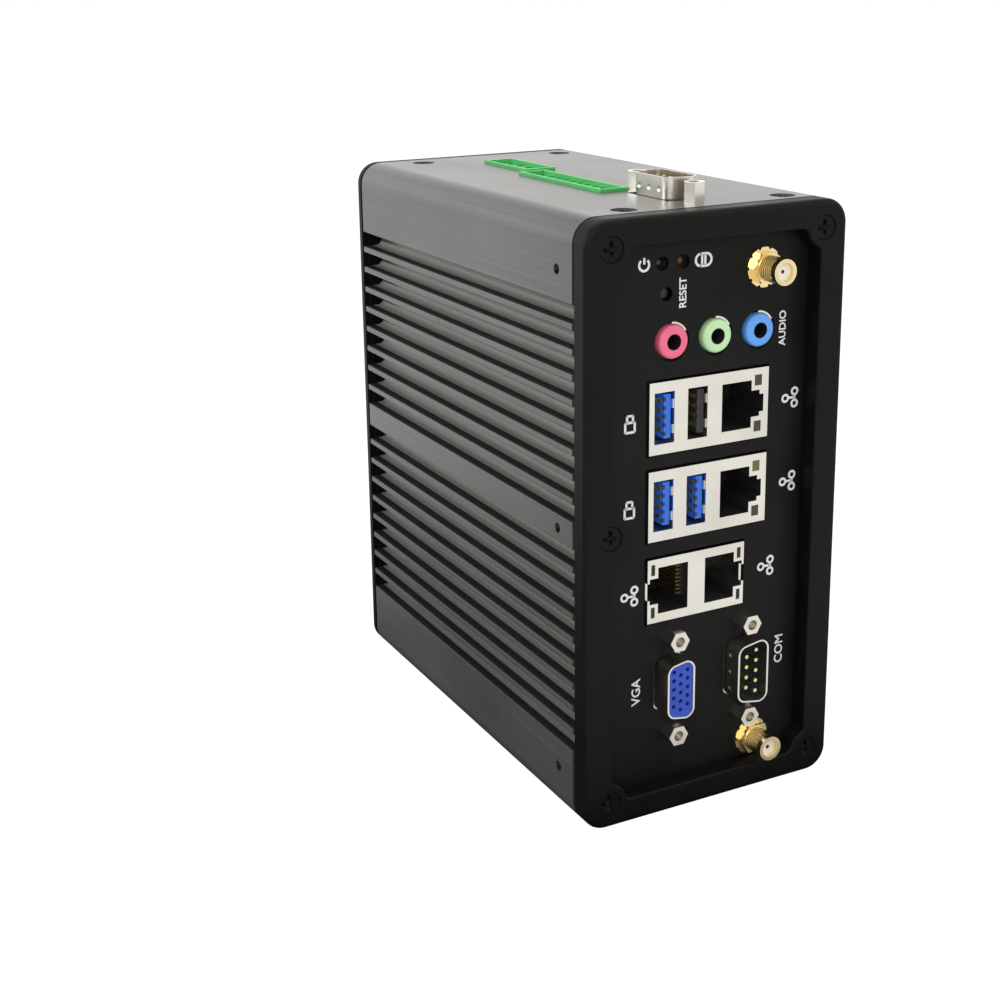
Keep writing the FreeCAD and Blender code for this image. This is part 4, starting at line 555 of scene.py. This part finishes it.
WORDS = (
    # text, x, z, cap height
    ("RESET", 29.3, 130.3, 2.0),
    ("AUDIO", 58.4, 118.6, 2.0),
    ("VGA", 17.4, 31.6, 2.5),
    ("COM", 60.4, 34.0, 2.5),
)
NETWORK_PLACES = ((61.4, 100.6), (61.4, 79.0), (15.3, 57.1), (55.5, 57.5))
PLUG_PLACES = ((15.0, 100.4), (15.0, 79.2))
POWER_PLACE = (18.5, 137.8)
DRIVE_PLACE = (34.9, 137.6)
SIZE_OVER_CAPITAL = 1.38
LETTER_SPREAD = 0.05


def network_mark(x, z, width, thick):
    """Three small rings joined by lines."""
    column, rise, gap = x + 1.3, 1.55, 0.7
    spots = ((x - 1.5, z), (column, z + rise), (column, z - rise))
    parts = [flat_ring(sx, sz, 0.85, width, thick) for sx, sz in spots]
    parts.append(flat_bar((x - gap, z), (column, z), width, thick))
    parts.append(flat_bar((column, z - gap), (column, z + gap), width, thick))
    return parts


def plug_mark(x, z, width, thick):
    """The outline of a flat plug with its two windows."""
    left, right, low, high = x - 1.3, x + 1.3, z - 2.0, z + 0.4
    corners = ((left, low), (right, low), (right, high), (left, high), (left, low))
    parts = [flat_bar(first, last, width, thick) for first, last in zip(corners, corners[1:])]
    neck = ((x - 0.8, high), (x - 0.8, z + 2.0), (x + 0.8, z + 2.0), (x + 0.8, high))
    parts += [flat_bar(first, last, width, thick) for first, last in zip(neck, neck[1:])]
    return parts


def power_mark(x, z, width, thick):
    """A ring open on one side with a line through the gap."""
    ring = flat_ring(x, z, 1.35, width, thick)
    open_ring(ring, case_point(x, PANEL_FACE, z), Vector((0.0, 0.0, 1.0)), math.radians(38.0))
    return [ring, flat_bar((x, z + 0.2), (x, z + 1.7), width, thick)]


def drive_mark(x, z, width, thick):
    """A drum seen from the side: a rounded outline and two lines."""
    parts = []
    for sign in (-1.0, 1.0):
        centre, edge, line = x + 0.75 * sign, z + 1.45 * sign, x + 0.45 * sign
        ring = flat_ring(centre, z, 1.45, width, thick)
        away = Vector((-sign, 0.0, 0.0))
        open_ring(ring, case_point(centre, PANEL_FACE, z), away, math.radians(90.0))
        parts.append(ring)
        parts.append(flat_bar((x - 0.8, edge), (x + 0.8, edge), width, thick))
        parts.append(flat_bar((line, z - 1.3), (line, z + 1.3), width, thick))
    return parts


class PrintOperator(bpy.types.Operator):
    """Print the words and symbols beside the sockets"""

    bl_idname = "rail_computer.prints"
    bl_label = "Prints"

    def execute(self, context):
        options = context.scene.print_settings
        thick, width = options.ink_thick / MM, options.line_width / MM
        ink = print_surface("screen_ink")
        words = [word(text, x, z, tall, thick) for text, x, z, tall in WORDS]
        one_piece("printed_words", words, ink)
        marks = []
        for x, z in NETWORK_PLACES:
            marks += network_mark(x, z, width, thick)
        for x, z in PLUG_PLACES:
            marks += plug_mark(x, z, width, thick)
        marks += power_mark(*POWER_PLACE, width, thick)
        marks += drive_mark(*DRIVE_PLACE, width, thick)
        one_piece("printed_symbols", marks, ink)
        return {"FINISHED"}


# USB mouths: their places, and sizes from a tongue's middle or its face
USB_LEFT = (24.2, 33.6)
USB_HEIGHTS = (100.8, 79.0)
TONGUE_FACE = 0.45
CONTACT_COUNT = 4
CONTACT_PITCH = 2.35
CONTACT_FRONT = 6.6
CONTACT_REAR = 14.0
CONTACT_SUNK = 0.1
POCKET_COUNT = 5
POCKET_PITCH = 2.1
POCKET_FRONT = PANEL_FACE + 0.3
POCKET_REAR = PANEL_FACE + 0.9
POCKET_SUNK = 0.55
POCKET_HALF = 0.5
MOUTH_WALL = 2.8
FINGER_RISE = 3.1
FINGER_HALF = 1.1
FINGER_FRONT = 5.1
FINGER_REAR = 11.0
FINGER_THICK = 0.22
FINGER_BOW = 0.55
FINGER_CUTS = 6


def usb_places():
    """Centres of the four USB mouths."""
    return [(x, z) for z in USB_HEIGHTS for x in USB_LEFT]


def row_of(count, pitch, middle):
    """Places of an even row about its middle."""
    return [middle + (step - (count - 1) / 2) * pitch for step in range(count)]


def tongue_contacts(face, z, wide, thick):
    """Flat contacts that lie on a tongue's face."""
    strips = []
    for place in row_of(CONTACT_COUNT, CONTACT_PITCH, z):
        low = (face - thick, CONTACT_FRONT, place - wide / 2)
        strips.append(solid_box(low, (face + CONTACT_SUNK, CONTACT_REAR, place + wide / 2)))
    return strips


def tongue_pocket_shades(face, z, thick):
    """Black boxes across a tongue's front edge: painted shade where its pockets are."""
    shade_pockets = []
    for place in row_of(POCKET_COUNT, POCKET_PITCH, z):
        low = (face - thick / 2, POCKET_FRONT, place - POCKET_HALF)
        shade_pockets.append(solid_box(low, (face + POCKET_SUNK, POCKET_REAR, place + POCKET_HALF)))
    return shade_pockets


def spring_finger(wall, z):
    """A thin finger that bows in from the right wall of a mouth."""
    low = (wall - FINGER_THICK, FINGER_FRONT, z - FINGER_HALF)
    item = solid_box(low, (wall, FINGER_REAR, z + FINGER_HALF))
    bpy.ops.object.transform_apply(location=True, rotation=True, scale=True)
    bpy.ops.object.mode_set(mode="EDIT")
    bpy.ops.mesh.select_all(action="SELECT")
    bpy.ops.mesh.subdivide(number_cuts=FINGER_CUTS)
    bpy.ops.object.mode_set(mode="OBJECT")
    start, end = case_point(wall, FINGER_FRONT, z).y, case_point(wall, FINGER_REAR, z).y
    for point in item.data.vertices:
        share = (point.co.y - start) / (end - start)
        point.co.x -= math.sin(math.pi * share) * FINGER_BOW * MM
    return item


class ContactOperator(bpy.types.Operator):
    """Put contacts on the USB tongues and springs in the mouths"""

    bl_idname = "rail_computer.contacts"
    bl_label = "Contacts"

    def execute(self, context):
        options = context.scene.contact_settings
        wide, thick = options.contact_wide / MM, options.contact_thick / MM
        strips, shade_pockets, springs = [], [], []
        for x, z in usb_places():
            face = x + TONGUE_FACE
            strips += tongue_contacts(face, z, wide, thick)
            shade_pockets += tongue_pocket_shades(face, z, thick)
            for sign in (-1.0, 1.0):
                springs.append(spring_finger(x + MOUTH_WALL, z + FINGER_RISE * sign))
        materials = bpy.data.materials
        one_piece("usb_contacts", strips, materials["contact_gold"])
        # the black pocket boxes are painted shade in the tongues' pockets
        one_piece("usb_pockets_painted_shade", shade_pockets, materials["black_plastic"])
        one_piece("usb_springs", springs, materials["nickel_plate"])
        return {"FINISHED"}


COIL_SIDES = 12
COIL_STEPS = 28


def node_box(name):
    """Lowest and highest corners of a frame node."""
    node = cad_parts[name]
    corners = [node.matrix_world @ Vector(corner) for corner in node.bound_box]
    return corners[0], corners[6]


def wind_coil(context, options, low, high):
    """A coil of round wire that fills a box, with its two ends closed."""
    wire, middle = options.wire_thick / 2, (low + high) / 2
    radius = (high.x - low.x) / 2 - wire
    start = (middle.x + radius, middle.y, low.z + wire)
    bpy.ops.object.select_all(action="DESELECT")
    bpy.ops.mesh.primitive_circle_add(
        vertices=COIL_SIDES, radius=wire, location=start, rotation=(math.pi / 2, 0.0, 0.0)
    )
    coil = context.object
    context.scene.cursor.location = (middle.x, middle.y, start[2])
    bpy.ops.object.transform_apply(location=False, rotation=True, scale=True)
    bpy.ops.object.origin_set(type="ORIGIN_CURSOR")
    turn = coil.modifiers.new("coil", "SCREW")
    turn.steps, turn.render_steps = COIL_STEPS, COIL_STEPS
    turn.iterations = options.turns
    turn.screw_offset = (high.z - low.z - 2 * wire) / options.turns
    bpy.ops.object.modifier_apply(modifier=turn.name)
    bpy.ops.object.mode_set(mode="EDIT")
    bpy.ops.mesh.select_all(action="SELECT")
    bpy.ops.mesh.fill_holes(sides=0)
    bpy.ops.mesh.normals_make_consistent(inside=False)
    bpy.ops.object.mode_set(mode="OBJECT")
    return coil


class SpringOperator(bpy.types.Operator):
    """Wind the latch's spring"""

    bl_idname = "rail_computer.spring"
    bl_label = "Spring"

    def execute(self, context):
        options = context.scene.spring_settings
        low, high = node_box("rail_spring")
        coil = wind_coil(context, options, low, high)
        coil = one_piece("latch_spring", [coil], bpy.data.materials["zinc_plate"])
        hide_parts("rail_spring")
        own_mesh(coil)
        return {"FINISHED"}


# ----------------------------------------------------------------- settings


class StudioSettings(bpy.types.PropertyGroup):
    camera_place: FloatVectorProperty(
        name="Camera place",
        description="Where the main camera stands",
        default=(-0.20963, -0.36167, 0.20322),
        subtype="XYZ",
        unit="LENGTH",
    )
    camera_turn: FloatProperty(
        name="Camera turn",
        description="Heading to the right of +Y",
        default=math.radians(27.13),
        subtype="ANGLE",
    )
    camera_tilt: FloatProperty(
        name="Camera tilt",
        description="Angle below the horizon",
        default=math.radians(14.53),
        subtype="ANGLE",
    )
    camera_roll: FloatProperty(
        name="Camera roll",
        description="Turn about the line of sight",
        default=math.radians(-0.79),
        subtype="ANGLE",
    )
    lens: FloatProperty(name="Lens", description="Focal length in millimetres", default=56.68)
    shift: FloatProperty(name="Shift", description="Upward shift of the view, in widths", default=-0.12)


class PrintSettings(bpy.types.PropertyGroup):
    ink_thick: FloatProperty(
        name="Ink", description="How far the ink stands off the panel", default=0.03 * MM, unit="LENGTH"
    )
    line_width: FloatProperty(
        name="Line", description="Width of the lines of a symbol", default=0.6 * MM, unit="LENGTH"
    )


class ContactSettings(bpy.types.PropertyGroup):
    contact_wide: FloatProperty(
        name="Contact width", description="Width of a USB contact", default=1.0 * MM, unit="LENGTH"
    )
    contact_thick: FloatProperty(
        name="Contact height",
        description="How far a contact stands off its tongue",
        default=0.12 * MM,
        unit="LENGTH",
    )


class SpringSettings(bpy.types.PropertyGroup):
    wire_thick: FloatProperty(
        name="Wire", description="Thickness of the spring's wire", default=0.44 * MM, unit="LENGTH"
    )
    turns: IntProperty(name="Turns", description="Turns of the spring", default=7, min=1)
    travel: FloatProperty(
        name="Travel",
        description="How far the latch shortens the spring",
        default=4.0 * MM,
        unit="LENGTH",
    )


class StudioOperator(bpy.types.Operator):
    """Set the camera, the lights, the pale floor and the white background"""

    bl_idname = "rail_computer.stage"
    bl_label = "Stage"

    def execute(self, context):
        options = context.scene.studio_settings
        add_camera(context, options)
        add_lights(context)
        add_floor()
        add_world(context)
        return {"FINISHED"}


def add_camera(context, options):
    bpy.ops.object.camera_add(location=options.camera_place)
    camera = context.object
    turned = Euler((math.pi / 2 - options.camera_tilt, 0.0, -options.camera_turn)).to_matrix()
    rolled = Euler((0.0, 0.0, options.camera_roll)).to_matrix()
    camera.rotation_euler = (turned @ rolled).to_euler()
    camera.data.sensor_width = 36.0
    camera.data.lens = options.lens
    camera.data.shift_y = options.shift
    camera.data.clip_start = 0.01
    context.scene.camera = camera


LIGHTS = (
    # name, place, aimed at, width, height, power
    ("overhead", (0.05, 0.10, 1.10), (0.0, 0.0, 0.08), 1.0, 1.0, 9.0),
    ("left_low", (-1.10, 0.15, 0.60), (0.0, 0.0, 0.08), 0.6, 0.5, 8.0),
    ("front_fill", (-0.75, -1.20, 0.75), (0.0, -0.06, 0.08), 0.8, 0.6, 5.0),
    ("right_fill", (1.10, -0.60, 0.60), (0.0, 0.0, 0.08), 0.7, 0.7, 2.5),
)


def add_lights(context):
    for name, place, aim, wide, tall, power in LIGHTS:
        bpy.ops.object.light_add(type="AREA", location=place)
        lamp = context.object
        lamp.name = name
        lamp.data.shape = "RECTANGLE"
        lamp.data.size = wide
        lamp.data.size_y = tall
        lamp.data.energy = power
        lamp.rotation_euler = (Vector(aim) - Vector(place)).to_track_quat("-Z", "Y").to_euler()


FLOOR_WIDE = 12.0
FLOOR_DROP = 0.0002


def floor_surface():
    """White floor, whose own light is low near the part and bright beyond it."""
    g = Surface("pale_floor")
    fine = g.noise(90.0, 3.0)
    tone = g.mix(fine, (0.80, 0.80, 0.80), (0.86, 0.86, 0.86))
    material = g.finish(Base_Color=tone, Roughness=0.7 + fine * 0.1, Normal=g.bump(fine, 0.05, 0.0002))
    across, along, _ = g.axes(g.place())
    away = g.math("SQRT", across * across + along * along, 0.0)
    behind = g.ramp(along, 0.02, 0.30)
    before = g.ramp(0.0 - along, 0.064, 0.115)
    mirrored = 0.03 + behind * 1.0 + before * 0.95
    beside = g.ramp(0.0 - across, 0.07, 0.2) * g.ramp(along, -0.15, 0.0)
    bounced = 0.10 + g.ramp(away, 0.10, 0.6) * 0.35 + before * 0.5 + beside * 1.5
    glossy = g.node("ShaderNodeLightPath", output="Is Glossy Ray")
    seen = g.node("ShaderNodeLightPath", output="Is Camera Ray")
    strength = glossy * mirrored + (1.0 - glossy) * bounced
    glow = g.node("ShaderNodeEmission", {"Color": (1.0, 1.0, 1.0), "Strength": strength})
    white = g.node("ShaderNodeEmission", {"Color": (1.0, 1.0, 1.0), "Strength": 1.12})
    shaded = g.choose(0.88, Value(g, g.shader.outputs[0]), white)
    both = g.choose(seen, glow, shaded)
    g.connect(both, g.output.inputs["Surface"])
    return material


def add_floor():
    """The floor that the part stands on."""
    bpy.ops.mesh.primitive_plane_add(size=FLOOR_WIDE, location=(0.0, 0.0, -FLOOR_DROP))
    floor = bpy.context.object
    floor.name = "floor"
    give(floor, floor_surface())


def add_world(context):
    """White to the eye; the light itself is strongest low behind the part and from above."""
    g = Graph(bpy.data.worlds.new("white_studio"))
    _, along, up = g.axes(g.node("ShaderNodeTexCoord", output=0))
    low_behind = g.ramp(along, -0.1, 0.8) * (1.0 - g.ramp(up, 0.25, 0.7))
    before = g.ramp(0.0 - along, 0.25, 0.85)
    strength = 0.2 + low_behind * 1.15 + g.ramp(up, 0.3, 0.9) * 0.35 + before * 0.8
    seen = g.node("ShaderNodeLightPath", output="Is Camera Ray")
    eye = g.node("ShaderNodeBackground", {"Color": (1.0, 1.0, 1.0), "Strength": 1.0})
    lit = g.node("ShaderNodeBackground", {"Color": (1.0, 0.99, 0.975), "Strength": strength})
    out = g.tree.nodes.new("ShaderNodeOutputWorld")
    g.connect(g.choose(seen, lit, eye), out.inputs["Surface"])
    context.scene.world = g.holder
    context.scene.view_settings.view_transform = "Standard"


class FinishOperator(bpy.types.Operator):
    """Give every piece of the frame its finish"""

    bl_idname = "rail_computer.finishes"
    bl_label = "Finishes"

    def execute(self, context):
        materials = make_materials()
        missing = set(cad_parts) - set(FINISHES)
        if missing:
            raise RuntimeError(f"no finish for {sorted(missing)}")
        for node, finish in FINISHES.items():
            give(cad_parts[node], materials[finish])
        return {"FINISHED"}


class StudioPanel(bpy.types.Panel):
    bl_label = "Rail computer"
    bl_idname = "VIEW3D_PT_rail_computer"
    bl_space_type = "VIEW_3D"
    bl_region_type = "UI"
    bl_category = "Rail computer"

    def draw(self, context):
        for options in [getattr(context.scene, name) for name in SETTINGS]:
            for field in options.bl_rna.properties:
                if field.identifier not in ("rna_type", "name"):
                    self.layout.prop(options, field.identifier)
        for operator in OPERATORS:
            self.layout.operator(operator.bl_idname)


SETTINGS = {
    "studio_settings": StudioSettings,
    "print_settings": PrintSettings,
    "contact_settings": ContactSettings,
    "spring_settings": SpringSettings,
}
OPERATORS = (FinishOperator, PrintOperator, ContactOperator, SpringOperator, StudioOperator)
CLASSES = (*SETTINGS.values(), *OPERATORS, StudioPanel)


def register():
    for item in CLASSES:
        bpy.utils.register_class(item)
    for name, kind in SETTINGS.items():
        setattr(bpy.types.Scene, name, PointerProperty(type=kind))


def unregister():
    for name in SETTINGS:
        delattr(bpy.types.Scene, name)
    for item in reversed(CLASSES):
        bpy.utils.unregister_class(item)


def main():
    register()
    bpy.ops.rail_computer.finishes()
    bpy.ops.rail_computer.prints()
    bpy.ops.rail_computer.contacts()
    bpy.ops.rail_computer.spring()
    bpy.ops.rail_computer.stage()


if __name__ == "__main__":
    main()
